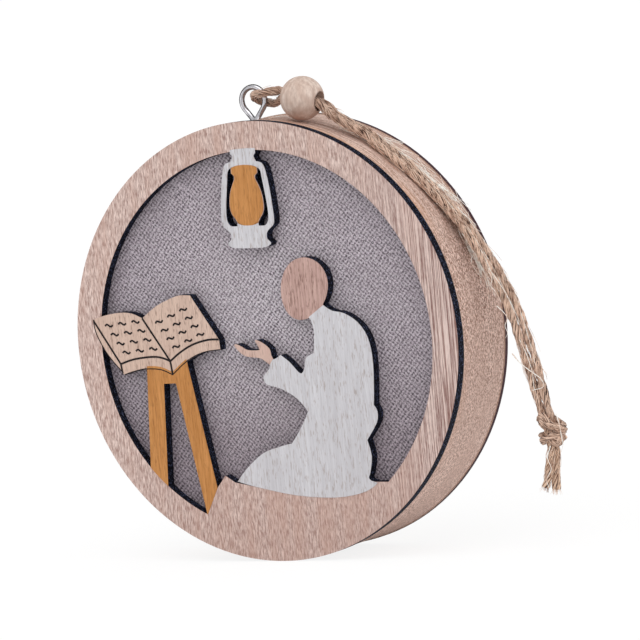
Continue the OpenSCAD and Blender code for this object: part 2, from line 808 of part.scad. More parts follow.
module battery_case() color([0.12, 0.12, 0.13]) in_box() difference() {
  union() {
    back_bar(collar_recess, back_t + flange_t / 2, collar_r);
    back_bar(back_t, flange_in, flange_r);
    back_bar(back_t + flange_t / 2, well_in, well_r);
    back_bar(back_t + flange_t / 2, cup_in, cup_r);
    posts_at() back_bar(back_t + flange_t / 2, board_in, post_r);
  }
  back_bar(collar_recess - cut, seat_in, door_r + door_play);
  back_bar(seat_in - cut, floor_in, pocket_r);
  for (i = [0 : door_count - 1]) {
    lock = 360 * i / door_count;
    reach = door_r + lug_reach + door_play;
    free = lock - door_turn - lug_play;
    sector(door_in - lug_t - door_play, seat_in, door_r - cut, reach, free,
      lug_angle + door_turn + 2 * lug_play);
    sector(collar_recess - cut, seat_in, door_r - cut, reach, free, lug_angle + 2 * lug_play);
  }
  for (s = [-1, 1])
    back_box(s * (pocket_r + cup_wall / 2), 0, floor_in - contact_t - slit_play, floor_in,
      cup_wall + 2 * cut, contact_w + 2 * slit_play);
  posts_at() back_bar(back_t - cut, board_in + cut, screw_r + screw_play);
  back_box(0, -switch_place_r, collar_recess - cut, flange_in + cut,
    switch_travel + slider_stem_l + 2 * slider_play, slider_stem_w + 2 * slider_play);
}

module battery_door() color([0.16, 0.16, 0.17]) in_box() difference() {
  union() {
    back_bar(door_recess, door_in, door_r);
    for (i = [0 : door_count - 1])
      sector(door_in - lug_t, door_in, door_r - cut, door_r + lug_reach, 360 * i / door_count, lug_angle);
  }
  back_box(0, 0, door_recess - cut, door_recess + coin_slot_deep, coin_slot_l, coin_slot_w);
}

module coin_cells() color([0.75, 0.76, 0.78]) in_box() for (i = [0 : cell_count - 1]) {
  start = cell_in + i * cell_t;
  back_bar(start + cell_skin, start + cell_t, cell_r);
}

module contact_tab(s) {
  back_box(s * (cup_r + contact_reach / 2), 0, floor_in - contact_t, floor_in, contact_reach, contact_w);
  back_box(s * (cup_r + contact_reach - contact_t / 2), 0, board_front, floor_in, contact_t, contact_w);
}

module negative_contact() color([0.80, 0.76, 0.62]) in_box() {
  back_bar(cell_out, floor_in, contact_r);
  back_box(-cup_r / 2, 0, floor_in - contact_t, floor_in, cup_r, contact_w);
  contact_tab(-1);
}

module positive_contact() color([0.80, 0.76, 0.62]) in_box() {
  back_box(strip_in_r + contact_t / 2, 0, cell_in + cell_t / 2, floor_in, contact_t, contact_w);
  back_box((strip_in_r + cup_r) / 2, 0, floor_in - contact_t, floor_in, cup_r - strip_in_r, contact_w);
  contact_tab(1);
}

module switch_body() color([0.62, 0.62, 0.64]) in_box() difference() {
  back_box(0, -switch_place_r, flange_in, board_in, switch_long, switch_wide);
  back_box(0, -switch_place_r, flange_in + switch_shell, board_in - switch_shell,
    switch_travel + slider_stem_l + 2 * (slider_base_over + slider_play),
    slider_stem_w + 2 * (slider_base_over + slider_play));
  back_box(0, -switch_place_r, flange_in - cut, flange_in + switch_shell + cut,
    switch_travel + slider_stem_l + 2 * slider_play, slider_stem_w + 2 * slider_play);
}

module switch_slider() color([0.90, 0.90, 0.90]) in_box() {
  x = -switch_travel / 2;
  base_in = flange_in + switch_shell + slider_play;
  back_box(x, -switch_place_r, slider_sink, base_in + slider_base_t, slider_stem_l, slider_stem_w);
  back_box(x, -switch_place_r, base_in, base_in + slider_base_t,
    slider_stem_l + 2 * slider_base_over, slider_stem_w + 2 * slider_base_over);
}

module light_board() color([0.16, 0.36, 0.22]) in_box() difference() {
  back_bar(board_in, board_front, flange_r - board_inset);
  back_bar(board_in - cut, board_front + cut, cup_r + board_play);
  posts_at() back_bar(board_in - cut, board_front + cut, screw_r + board_hole_play);
}

module leds() color([0.98, 0.93, 0.75]) in_box() for (i = [0 : led_count - 1])
  rotate([0, 360 * i / led_count, 0]) translate([led_place_r, 0, 0]) {
    back_bar(board_front, board_front + led_base_h, led_base_r);
    back_bar(board_front + led_base_h / 2, board_front + led_base_h + led_body_h, led_r);
    translate([0, box_depth - board_front - led_base_h - led_body_h, 0]) sphere(r = led_r);
  }

module module_screws() color([0.55, 0.56, 0.58]) in_box() posts_at() difference() {
  union() {
    back_bar(screw_skin, board_front + screw_head_h / 2, screw_r);
    back_bar(board_front, board_front + screw_head_h, screw_head_r);
  }
  back_box(0, 0, board_front + screw_head_h - screw_slot_deep, board_front + screw_head_h + cut,
    2 * screw_head_r + cut, screw_slot_w);
  back_box(0, 0, board_front + screw_head_h - screw_slot_deep, board_front + screw_head_h + cut,
    screw_slot_w, 2 * screw_head_r + cut);
}

front_plate();
robe_print();
head_print();
hand_print();
book_print();
book_lines();
stand_print();
lantern_print();
lantern_glass_print();
fabric_screen();
rim_band();
back_plate();
screw_eye();
bead();
twine_front();
twine_rear();
twine_knot();
twine_tails();
battery_case();
battery_door();
coin_cells();
negative_contact();
positive_contact();
switch_body();
switch_slider();
light_board();
leds();
module_screws();
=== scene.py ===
"""Looks of the round hanging box ornament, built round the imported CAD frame.

Everything is in metres in the part's own frame: the origin is the centre of the eye ring, X is
right, Y is back and Z is up. Names that end in _MM or _mm are in millimetres, as in the part's
source. A pair of numbers for a zone says where a change of colour starts and where it is full.
"""

import math
import random

import bpy
import numpy as np
from mathutils import Matrix, Vector


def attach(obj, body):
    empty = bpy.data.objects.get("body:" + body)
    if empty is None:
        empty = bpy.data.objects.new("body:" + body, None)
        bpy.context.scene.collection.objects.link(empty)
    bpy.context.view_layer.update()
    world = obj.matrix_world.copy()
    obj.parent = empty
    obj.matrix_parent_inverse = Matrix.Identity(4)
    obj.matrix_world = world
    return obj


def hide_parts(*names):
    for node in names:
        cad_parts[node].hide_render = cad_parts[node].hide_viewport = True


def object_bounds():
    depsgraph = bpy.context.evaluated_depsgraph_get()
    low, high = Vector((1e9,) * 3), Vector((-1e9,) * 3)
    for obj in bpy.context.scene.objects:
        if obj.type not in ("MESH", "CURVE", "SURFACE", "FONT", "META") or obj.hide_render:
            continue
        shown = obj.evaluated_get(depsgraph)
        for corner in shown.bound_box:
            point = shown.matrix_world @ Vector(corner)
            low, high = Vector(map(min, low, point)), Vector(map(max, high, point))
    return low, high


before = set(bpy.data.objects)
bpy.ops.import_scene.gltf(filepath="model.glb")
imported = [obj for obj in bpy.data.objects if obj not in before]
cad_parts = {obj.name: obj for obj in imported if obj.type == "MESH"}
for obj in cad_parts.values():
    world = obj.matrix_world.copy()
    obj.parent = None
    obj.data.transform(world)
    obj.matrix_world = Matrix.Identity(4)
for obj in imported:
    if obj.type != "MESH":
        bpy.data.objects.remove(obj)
cad_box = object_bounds()

MM = 0.001

# Camera: the photograph's view, found from the front and back edges. The roll is in degrees
CAMERA_PLACE = (0.6497, -1.0652, 0.0499)
CAMERA_AIM = (0.0154, -0.0016, -0.0600)
CAMERA_ROLL = -5.38
CAMERA_LENS = 258.5
CAMERA_SENSOR = 36

# Main places that the looks need from the source
PLATE_CENTRE_MM = (2.0, -64.5)
PLATE_RADIUS_MM = 60.0
RIM_RADIUS_MM = 59.7
FABRIC_RADIUS_MM = 59.9
FABRIC_FRONT_MM = -7.0
FABRIC_BACK_MM = -6.6
WINDOW_RADIUS_MM = 52.2

# Zones where the colour changes, by X, by height Z, by depth Y or by distance from the middle
SHEET_RIGHT_MM = (30, 58)
SHEET_FOOT_MM = (-86, -118)
RIM_STREAKS_MM = (-46, -22)
# The rim is lighter towards its foot: painted bounce light from the floor
RIM_BOUNCE_LIGHT_MM = (-58, -104)
SCORCH_DEPTH_MM = (-6.6, -2.2)
SCORCH_HEIGHT_MM = (-42, -18)
# Painted shade on the cloth: darker out towards its rim, low down and to the left
CLOTH_SHADE_OUTER_MM = (14, 50)
CLOTH_SHADE_FOOT_MM = (-60, -94)
CLOTH_SHADE_LEFT_MM = (-14, -46)
CLOTH_BURNT_MM = (FABRIC_RADIUS_MM - 0.5, FABRIC_RADIUS_MM - 0.2)
# The bead's underside: painted warm bounce light from the rim
BEAD_BOUNCE_LIGHT_MM = (-1.5, -6.5)
TWINE_NEAR_MM = (24, 44)

# Burnt wood: the walls that the laser cut, their blue flecks of painted highlight, and the brown line at
# their edges
CHAR_TONE = (11, 10, 18)
CHAR_HIGHLIGHT_FLECK_TONE = (88, 96, 126)
CHAR_LINE_TONE = (146, 96, 68)

# Inks on the front sheet: light and dark tone, how much grain shows, then the specks' tone and share
INKS = {
    "white_ink": ((223, 222, 226), (190, 187, 191), 0.9, (150, 128, 118), 0.5),
    "ochre_ink": ((214, 152, 90), (172, 112, 52), 1.0, (136, 86, 44), 0.4),
    "head_ink": ((214, 180, 170), (164, 128, 119), 1.0, (122, 88, 78), 0.7),
    "hand_ink": ((219, 190, 177), (198, 164, 151), 0.8, (140, 104, 92), 0.5),
    "page_ink": ((222, 195, 178), (194, 165, 150), 0.9, (134, 102, 90), 0.6),
}

# Cloth: threads to a millimetre along X and along Z, for warp and weft, and how uneven its face is
WEAVE_LINES_MM = [(1.47, 0.223), (0.052, 1.453)]
CLOTH_RINGS = 48
CLOTH_SIDES = 180
CLOTH_WAVES = 6
CLOTH_WAVE_MM = 0.06
CLOTH_CALM_MM = 8
CLOTH_INSET_MM = 0.02

# Twine: its thickness, how far apart the pair runs and how it turns. FROM and TO count route points
TWINE_MM = 2.2
YARN_PITCH = 0.0145
YARN_SIDES = 40
YARN_RIDGES = (5, 7, 9, 11, 14)
YARN_RIDGE_SHARE = 0.028
PAIR_MM = 2.3
PAIR_SWELL = 0.25
PAIR_SWELL_FROM = 8
PAIR_SWELL_TO = 21
BEAD_TURN = math.radians(90)
BEAD_TURN_TO = 6
PAIR_TURN_FROM = 21
PAIR_TURN = math.radians(100)

# Twine routes, repeated from the source
FOLD_FRONT_MM = [
    (0.3, 0, 1.1), (0.6, -0.9, 1.5), (1.7, -1.8, 2.1), (3.2, -2, 2.3), (5, -1.6, 2.5), (6.9, -0.8, 2.6),
]
FOLD_REAR_MM = [
    (0.3, 0, 1.1), (0.7, 0.9, 0.5), (1.8, 1.7, -0.1), (3.7, 2.1, -0.6), (5.4, 1.7, -0.8), (7.2, 0.8, -0.3),
]
PAIR_ROUTE_MM = [
    (8.8, 0, 1.49), (10.4, 0, 1.16), (12, 0, 0.83), (13.6, 0, 0.5), (15.2, 0, 0.17), (16.8, 0, -0.16),
    (18.4, 0, -0.5), (20, 0, -0.9), (21.4, 0.05, -1.8), (23.4, 0.4, -3.8), (26, 1, -6.1), (28.5, 1.7, -7.9),
    (31.1, 2.3, -9.4), (33.7, 2.8, -11.4), (36.4, 3, -13.9), (39.3, 3, -16.1), (42.1, 3.1, -18.5),
    (44.8, 3.4, -21), (47.4, 3.8, -23.7), (50.2, 4.2, -26.7), (52.7, 4.6, -29.4), (55.6, 4.9, -32.8),
    (59, 5.1, -37.4), (62.3, 5.1, -42.4), (65.4, 5, -47.3), (68.2, 4.7, -52.2), (70.6, 4.4, -57.1),
    (72.5, 4.1, -61.9), (74.1, 3.8, -66.8), (75.6, 3.5, -71.6), (76.8, 3.2, -76.4), (77.9, 3, -81.2),
    (79, 2.8, -85.6), (79.8, 2.7, -88.5),
]
KNOT_PLACE_MM = (80.2, 2.7, -91.9)
KNOT_BULGE_MM = 0.9
KNOT_CORD_SHARE = 0.88
TAIL_FRONT_MM = [(80.7, 1.5, -95.3), (80.6, 1.45, -97.9), (79.7, 1.4, -102.7), (78.3, 1.3, -107.2)]
TAIL_REAR_MM = [(80.9, 3.8, -95.6), (80.9, 3.75, -98.3), (80.4, 3.8, -103.1), (79.9, 4, -108.2)]
TAIL_CORD_SHARE = 0.96
STRAND_STEP_MM = 0.35
KNOT_STEP_MM = 0.3
STRAY_STEP_MM = 0.4

# Single fibres that the photograph shows apart from the strands
STRAY_MM = [
    [(3.6, 1, -4.9), (5.4, 1, -4.6), (7.3, 1, -4.4), (9.2, 1, -4.5), (11.3, 1, -5.4)],
    [
        (66.5, 1, -46.6), (67.4, 0.5, -49.3), (68.4, 0, -51.1), (67.9, 0, -53), (68.8, 0.3, -54.4),
        (70.1, 0.8, -57.4),
    ],
    [
        (68.6, 1, -58.5), (70.6, 0.5, -60.1), (71.7, 0.3, -61.7), (70.9, 0.3, -63.8), (71.3, 0.6, -65.7),
        (70.4, 0.8, -67.1),
    ],
    [(67, 1.2, -48.3), (69.8, 0.6, -51.8), (72.3, 0.4, -55.8), (74.2, 0.4, -60.1), (75.5, 0.8, -63.9)],
    [
        (71.7, 1.4, -71.4), (74.2, 0.6, -73.8), (77.5, 0.2, -76.2), (80.1, 0.4, -78.2), (80.4, 0.8, -80.4),
        (77, 1, -81.3),
    ],
    [(74.5, 1, -67.7), (76.7, 0.2, -71.9), (77.8, 0.2, -76.2), (77.9, 0.4, -80.5), (78.8, 0.6, -84.3)],
    [(84.3, -0.8, -87.5), (85.3, -1.4, -90.1), (85.6, -1.4, -92.8), (85.6, -0.8, -95.6), (84.6, -0.4, -97.7)],
    [(81.3, 0.2, -96.1), (80.2, 0, -99.3), (81, 0, -102.2), (79.4, -0.1, -105.1), (79.9, 0, -107.3)],
]

# Fibres of each kind on a strand or tail, how far the loose ones stand off, and how long they are
FUZZ_COUNT = 60
FUZZ_REACH_MM = 1.4
LYING_COUNT = 34
STRAIGHT_COUNT = 7
STRAIGHT_LENGTH_MM = (10, 28)
STRAIGHT_TWIST = (-0.1, 0.3)
SHORT_COUNT = 16
SHORT_LENGTH_MM = (2, 5)
MOUTH_REACH_MM = 1.9
FOLD_REACH_MM = 0.9
TAIL_FUZZ_COUNT = 20
TAIL_FUZZ_LENGTH_MM = (3, 8)
TAIL_LYING_COUNT = 9
TAIL_LYING_LENGTH_MM = (4, 9)
TAIL_REACH_MM = 0.9
TAIL_FLARE = 0.08
CUT_END_COUNT = 34

# Where fibres may start: shares of a strand at the bead's mouth and at the fold, or points of its line
MOUTH_SHARES = (0.169, 0.22)
FOLD_SHARES = (0, 0.07)
FUZZ_POINTS = slice(70, -14)
LYING_POINTS = slice(70, -8)
STRAIGHT_POINTS = slice(110, -20)
TAIL_POINTS = slice(14, None)

# Radii of the fibres
FUZZ_FIBRE_MM = (0.05, 0.11)
TAIL_FIBRE_MM = (0.035, 0.08)
STRAIGHT_FIBRE_MM = (0.07, 0.11)
FRAYED_FIBRE_MM = (0.09, 0.18)
FIBRE_SIDES = 5
FIBRE_TIP = 0.5

# Web of frayed fibres on the rim, behind the twine: where it lies along a strand, and how wide it is
WEB_COUNT = 140
WEB_FROM_MM = 24
WEB_TO_MM = 88
WEB_WIDE_MM = 11.5
WEB_RUN_MM = (9, 30)
WEB_BOW_MM = 2.2
WEB_HEIGHT_MM = (0.2, 2.0)

# Broken edges of the CAD nodes: which points are one, which faces are flat, which edges are sharp
WELD_WITHIN = 1e-6
FLAT_WITHIN = math.radians(0.5)
SHARP_FROM = math.radians(40)

# Floor and world: what the camera sees of them, and what they give the part
FLOOR_HALF = 20.0
FLOOR_COLOUR = (0.9, 0.9, 0.9, 1)
FLOOR_GLOW = 1.06
FLOOR_GLOW_SHARE = 0.8
SKY_COLOUR = (1, 1, 1, 1)
SKY_ON_PART = 0.63
SKY_SEEN = 1.0

# Dark cards that give the bright wire its dark borders
FLAG_REACH = 1.2
FLAG_HALF = 1.0
FLAG_DEPTH_SHARE = 0.6
FLAG_TILT = math.radians(58)
FLAG_DARK = (0.01, 0.01, 0.012, 1.0)


def metres(lengths_mm):
    """Lengths in millimetres as metres."""
    return [length * MM for length in lengths_mm]


# Camera


def aim_camera():
    """The photograph's camera: a long lens, a little above the ornament and to its right."""
    place = Vector(CAMERA_PLACE)
    ahead = (Vector(CAMERA_AIM) - place).normalized()
    level_right = ahead.cross(Vector((0, 0, 1))).normalized()
    level_up = level_right.cross(ahead)
    roll = math.radians(CAMERA_ROLL)
    right = math.cos(roll) * level_right + math.sin(roll) * level_up
    up = right.cross(ahead)
    data = bpy.data.cameras.new("photo_camera")
    data.lens = CAMERA_LENS
    data.sensor_width = CAMERA_SENSOR
    data.clip_start = 0.05
    data.clip_end = 100
    camera = bpy.data.objects.new("photo_camera", data)
    turn = Matrix([right, up, -ahead]).transposed()
    camera.matrix_world = Matrix.Translation(place) @ turn.to_4x4()
    bpy.context.scene.collection.objects.link(camera)
    bpy.context.scene.camera = camera


# Curves and tubes


def unit(vectors):
    """The vectors at length one."""
    vectors = np.asarray(vectors, float)
    return vectors / np.linalg.norm(vectors, axis=-1, keepdims=True)


def smooth_curve(points, step):
    """Points at even steps on a smooth curve through the given ones, the first and last included."""
    p = np.asarray(points, float)
    p = np.vstack([2 * p[0] - p[1], p, 2 * p[-1] - p[-2]])
    pieces = []
    for a, b, c, d in zip(p, p[1:], p[2:], p[3:]):
        t = np.linspace(0, 1, 24, endpoint=False)[:, None]
        pieces.append(
            0.5 * (2 * b + (c - a) * t + (2 * a - 5 * b + 4 * c - d) * t**2 + (3 * b - a - 3 * c + d) * t**3)
        )
    line = np.vstack([*pieces, p[-2:-1]])
    along = run_length(line)
    even = np.linspace(0, along[-1], max(3, round(along[-1] / step) + 1))
    return np.column_stack([np.interp(even, along, line[:, k]) for k in range(3)])


def run_length(line):
    """How far along a line of points each one is."""
    return np.concatenate([[0], np.cumsum(np.linalg.norm(np.diff(line, axis=0), axis=1))])


def side_axes(line, first=(0, 1, 0)):
    """Two unit vectors square to the line at each point, carried along it without twist."""
    ahead = unit(np.gradient(line, axis=0))
    side = np.empty_like(line)
    last = np.asarray(first, float)
    for i, d in enumerate(ahead):
        last = last - (last @ d) * d
        if np.linalg.norm(last) < 1e-6:
            last = np.cross(d, (0.3, 0.5, 0.8))
        last = unit(last)
        side[i] = last
    return side, np.cross(ahead, side)


def mesh_piece(name, points, faces, finish, uvs=None):
    """A mesh object with smooth faces, one finish and, if given, a UV pair for each point."""
    mesh = bpy.data.meshes.new(name)
    mesh.from_pydata([tuple(p) for p in points], [], faces)
    mesh.polygons.foreach_set("use_smooth", [True] * len(mesh.polygons))
    if uvs is not None:
        layer = mesh.uv_layers.new(name="fibre")
        corners = np.zeros(len(mesh.loops), int)
        mesh.loops.foreach_get("vertex_index", corners)
        layer.data.foreach_set("uv", np.asarray(uvs, float)[corners].ravel())
    mesh.materials.append(finish)
    mesh.update()
    piece = bpy.data.objects.new(name, mesh)
    bpy.context.scene.collection.objects.link(piece)
    return piece


def tube_rings(line, radii, twist=0.0, first=(0, 1, 0)):
    """Rings of points round a line. radii has a row for each point and a column for each side."""
    across, over = side_axes(line, first)
    sides = radii.shape[1]
    angle = np.linspace(0, 2 * np.pi, sides, endpoint=False)[None, :] + np.zeros((len(line), 1)) + twist
    ring = np.cos(angle)[..., None] * across[:, None] + np.sin(angle)[..., None] * over[:, None]
    return line[:, None] + radii[..., None] * ring


def tube_faces(rings, sides, start=0):
    """Faces of a capped tube whose rings of points start at index start."""
    faces = []
    for i in range(rings - 1):
        for k in range(sides):
            n = (k + 1) % sides
            a = start + i * sides
            faces.append((a + k, a + n, a + sides + n, a + sides + k))
    faces.append(tuple(start + k for k in reversed(range(sides))))
    faces.append(tuple(start + (rings - 1) * sides + k for k in range(sides)))
    return faces


# Node materials


def tone(r, g, b):
    """A colour as a display shows it, 0 to 255 a channel, as the linear colour of a shader."""
    return (*[((c / 255 + 0.055) / 1.055) ** 2.4 if c > 10 else c / 3294.6 for c in (r, g, b)], 1.0)


class Finish:
    """One node material, with short calls for the nodes that the finishes share."""

    def __init__(self, name, roughness=0.6, **sockets):
        self.material = bpy.data.materials.new(name)
        self.material.use_nodes = True
        self.tree = self.material.node_tree
        self.shader = self.tree.nodes["Principled BSDF"]
        self.shader.inputs["Roughness"].default_value = roughness
        for socket, value in sockets.items():
            label = socket.replace("_", " ").title().replace("Ior", "IOR")
            self.shader.inputs[label].default_value = value
        self.place = self.tree.nodes.new("ShaderNodeTexCoord")

    def fill(self, socket, value):
        """Links a socket to an output, or sets its value."""
        if isinstance(value, bpy.types.NodeSocket):
            self.tree.links.new(value, socket)
        elif value is not None:
            socket.default_value = value

    def node(self, kind, *values, out=0, **settings):
        """A node of that kind with its first inputs filled in order. Returns one output."""
        made = self.tree.nodes.new("ShaderNode" + kind)
        for key, value in settings.items():
            setattr(made, key, value)
        for socket, value in zip(made.inputs, values):
            self.fill(socket, value)
        return made.outputs[out]

    def math(self, how, a, b=None):
        return self.node("Math", a, b, operation=how)

    def spot(self):
        """The place on the part, in metres."""
        return self.place.outputs["Object"]

    def split(self, vector):
        """The X, Y and Z of a vector."""
        parts = self.tree.nodes.new("ShaderNodeSeparateXYZ")
        self.fill(parts.inputs[0], vector)
        return list(parts.outputs)

    def from_middle(self, x, z):
        """How far a place is to the right of the sheet's middle, above it, and away from it."""
        east = self.math("SUBTRACT", x, PLATE_CENTRE_MM[0] * MM)
        north = self.math("SUBTRACT", z, PLATE_CENTRE_MM[1] * MM)
        squares = [self.math("POWER", part, 2.0) for part in (east, north)]
        return east, north, self.math("SQRT", self.math("ADD", *squares))

    def stretch(self, vector, x, y, z):
        """A vector scaled along each axis, for features of 1/x, 1/y and 1/z metres."""
        return self.node("VectorMath", vector, (x, y, z), operation="MULTIPLY")

    def noise(self, vector, detail=3.0, rough=0.5, bend=0.0):
        """Noise with features of one unit of the vector."""
        made = self.tree.nodes.new("ShaderNodeTexNoise")
        self.fill(made.inputs["Vector"], vector)
        made.inputs["Scale"].default_value = 1.0
        made.inputs["Detail"].default_value = detail
        made.inputs["Roughness"].default_value = rough
        made.inputs["Distortion"].default_value = bend
        return made.outputs[0]

    def between(self, value, low, high, to_low=0.0, to_high=1.0):
        """The value's place from low to high, as a place from to_low to to_high, held at both ends."""
        return self.node("MapRange", value, low, high, to_low, to_high)

    def blend(self, share, a, b, how="MIX"):
        """Colour a with a share of colour b."""
        made = self.tree.nodes.new("ShaderNodeMix")
        made.data_type = "RGBA"
        made.blend_type = how
        self.fill(made.inputs[0], share)
        self.fill(made.inputs[6], a)
        self.fill(made.inputs[7], b)
        return made.outputs[2]

    def tinted(self, base, colour, value, zone, share=1.0, first=0.0, how="MIX"):
        """base with a share of colour that goes from first to share as the value crosses the zone."""
        return self.blend(self.between(value, *zone, first, share), base, colour, how)

    def edge_side(self, low, high):
        """1 on walls that face sideways, 0 on faces that look along Y."""
        facing = self.math("ABSOLUTE", self.split(self.place.outputs["Normal"])[1])
        return self.between(facing, high, low)

    def bump(self, height, depth_mm, strength=1.0):
        made = self.tree.nodes.new("ShaderNodeBump")
        made.inputs["Strength"].default_value = strength
        made.inputs["Distance"].default_value = depth_mm * MM
        self.fill(made.inputs["Height"], height)
        self.fill(self.shader.inputs["Normal"], made.outputs[0])

    def roughen(self, value, low, high):
        """Roughness that follows a noise, from low to high."""
        self.fill(self.shader.inputs["Roughness"], self.between(value, 0.3, 0.7, low, high))

    def colour(self, value):
        self.fill(self.shader.inputs["Base Color"], value)
        return self


def charred(finish, colour):
    """The colour with laser-burnt side walls: a brown scorched edge, then near black with blue flecks of
    painted highlight.
    """
    fleck = finish.noise(finish.stretch(finish.spot(), 1700, 2600, 1700), detail=3, rough=0.7)
    # The blue-grey flecks on the near black char are painted highlights
    burnt = finish.tinted(tone(*CHAR_TONE), tone(*CHAR_HIGHLIGHT_FLECK_TONE), fleck, (0.54, 0.66))
    scorched = finish.blend(finish.edge_side(0.93, 0.995), colour, tone(*CHAR_LINE_TONE))
    return finish.blend(finish.edge_side(0.5, 0.8), scorched, burnt)


def wood_grain(finish, along=130):
    """(fine grain, broad figure, pores), each about 0 to 1. along is how finely the grain is cut along Z."""
    spot = finish.spot()
    sway = finish.noise(finish.stretch(spot, 90, 90, 30), detail=1)
    shift = finish.stretch(sway, 0.0016, 0.0, 0.0)
    bent = finish.node("VectorMath", spot, shift, operation="ADD")
    fine = finish.noise(finish.stretch(bent, 2300, 2300, along), detail=4, rough=0.65)
    broad = finish.noise(finish.stretch(bent, 210, 210, 16), detail=2)
    pore = finish.noise(finish.stretch(bent, 3400, 3400, 460), detail=2, rough=0.5)
    return fine, broad, finish.between(pore, 0.57, 0.67)


def sheet_wood():
    """The front sheet: pinkish tan veneer with short dark pores along Z, and burnt walls."""
    finish = Finish("sheet_wood", roughness=0.75, specular_ior_level=0.08)
    fine, broad, pores = wood_grain(finish, along=380)
    x, _, z = finish.split(finish.spot())
    base = finish.tinted(tone(168, 138, 129), tone(238, 216, 207), fine, (0.38, 0.62))
    base = finish.tinted(base, tone(202, 166, 152), broad, (0.42, 0.66), share=0.5)
    base = finish.blend(finish.math("MULTIPLY", pores, 0.65), base, tone(136, 97, 88))
    streak = finish.noise(finish.stretch(finish.spot(), 2300, 2300, 40), detail=3, rough=0.6)
    streaks = finish.tinted(tone(240, 218, 210), tone(120, 80, 76), streak, (0.44, 0.56))
    base = finish.tinted(base, streaks, x, metres(SHEET_RIGHT_MM), share=0.7)
    base = finish.tinted(base, tone(144, 106, 96), z, metres(SHEET_FOOT_MM), share=0.16)
    finish.colour(charred(finish, base))
    finish.bump(finish.math("SUBTRACT", fine, finish.math("MULTIPLY", pores, 0.6)), 0.06, 0.6)
    return finish.material


def back_wood():
    """The back sheet: the same veneer, with a maroon-brown burnt edge."""
    finish = Finish("back_wood", roughness=0.75, specular_ior_level=0.25)
    fine, broad, pores = wood_grain(finish)
    base = finish.tinted(tone(184, 158, 142), tone(212, 188, 172), fine, (0.3, 0.7))
    base = finish.tinted(base, tone(194, 162, 142), broad, (0.35, 0.75), share=0.6)
    base = finish.blend(finish.math("MULTIPLY", pores, 0.5), base, tone(128, 96, 82))
    fleck = finish.noise(finish.stretch(finish.spot(), 1200, 2600, 1200), detail=3, rough=0.7)
    burnt = finish.tinted(tone(58, 34, 42), tone(92, 62, 64), fleck, (0.45, 0.7))
    finish.colour(finish.blend(finish.edge_side(0.55, 0.9), base, burnt))
    finish.bump(fine, 0.05, 0.4)
    return finish.material


def rim_wood():
    """The rim: a bent band whose fine grain runs round it, with an orange scorch at its front edge and
    painted bounce light towards its foot.
    """
    finish = Finish("rim_wood", roughness=0.78, specular_ior_level=0.2)
    x, y, z = finish.split(finish.spot())
    east, north, radius = finish.from_middle(x, z)
    run = finish.math("MULTIPLY", finish.math("ARCTAN2", east, north), PLATE_RADIUS_MM * MM)
    spot = finish.node("CombineXYZ", radius, y, run)
    grain = finish.noise(finish.stretch(spot, 2300, 2300, 1500), detail=3, rough=0.7)
    speck = finish.noise(finish.stretch(spot, 2600, 2600, 1700), detail=2, rough=0.6)
    broad = finish.noise(finish.stretch(spot, 60, 160, 30), detail=2)
    lines = finish.noise(finish.stretch(spot, 0, 1700, 80), detail=3, rough=0.6)
    base = finish.tinted(tone(137, 102, 87), tone(249, 220, 207), grain, (0.42, 0.58))
    base = finish.tinted(base, tone(190, 158, 144), broad, (0.4, 0.7), share=0.5)
    base = finish.tinted(base, tone(116, 84, 72), speck, (0.56, 0.66), share=0.75)
    streaks = finish.tinted(tone(241, 217, 205), tone(171, 130, 109), lines, (0.42, 0.58))
    base = finish.tinted(base, streaks, z, metres(RIM_STREAKS_MM), share=0.6)
    # Lighter towards the foot: painted bounce light from the floor
    base = finish.tinted(base, tone(234, 206, 194), z, metres(RIM_BOUNCE_LIGHT_MM), share=0.3)
    scorch = finish.between(y, *metres(SCORCH_DEPTH_MM), 0.85, 0.0)
    upper = finish.between(z, *metres(SCORCH_HEIGHT_MM), 0.15, 1.0)
    ragged = finish.between(broad, 0.35, 0.6, 0.2, 1.1)
    scorched = finish.math("MULTIPLY", finish.math("MULTIPLY", scorch, upper), ragged)
    finish.colour(finish.blend(scorched, base, tone(220, 162, 122)))
    finish.bump(grain, 0.06, 0.6)
    return finish.material


def thin_paint(name):
    """Flat ink on the veneer: the grain shows through as faint streaks and small specks."""
    light, dark, grain_share, speck, speck_share = INKS[name]
    finish = Finish(name, roughness=0.6, specular_ior_level=0.3)
    fine, broad, pores = wood_grain(finish)
    base = finish.tinted(tone(*light), tone(*dark), fine, (0.3, 0.75), share=grain_share)
    base = finish.tinted(base, tone(*dark), broad, (0.4, 0.8), share=0.5 * grain_share)
    base = finish.blend(finish.math("MULTIPLY", pores, speck_share), base, tone(*speck))
    finish.colour(base)
    finish.bump(fine, 0.03, 0.35)
    return finish.material


def line_ink():
    """The book's printed lines: brown-black ink that the grain breaks up a little."""
    finish = Finish("line_ink", roughness=0.7, specular_ior_level=0.25)
    fine = wood_grain(finish)[0]
    finish.colour(finish.tinted(tone(20, 15, 17), tone(54, 40, 38), fine, (0.45, 0.8)))
    return finish.material


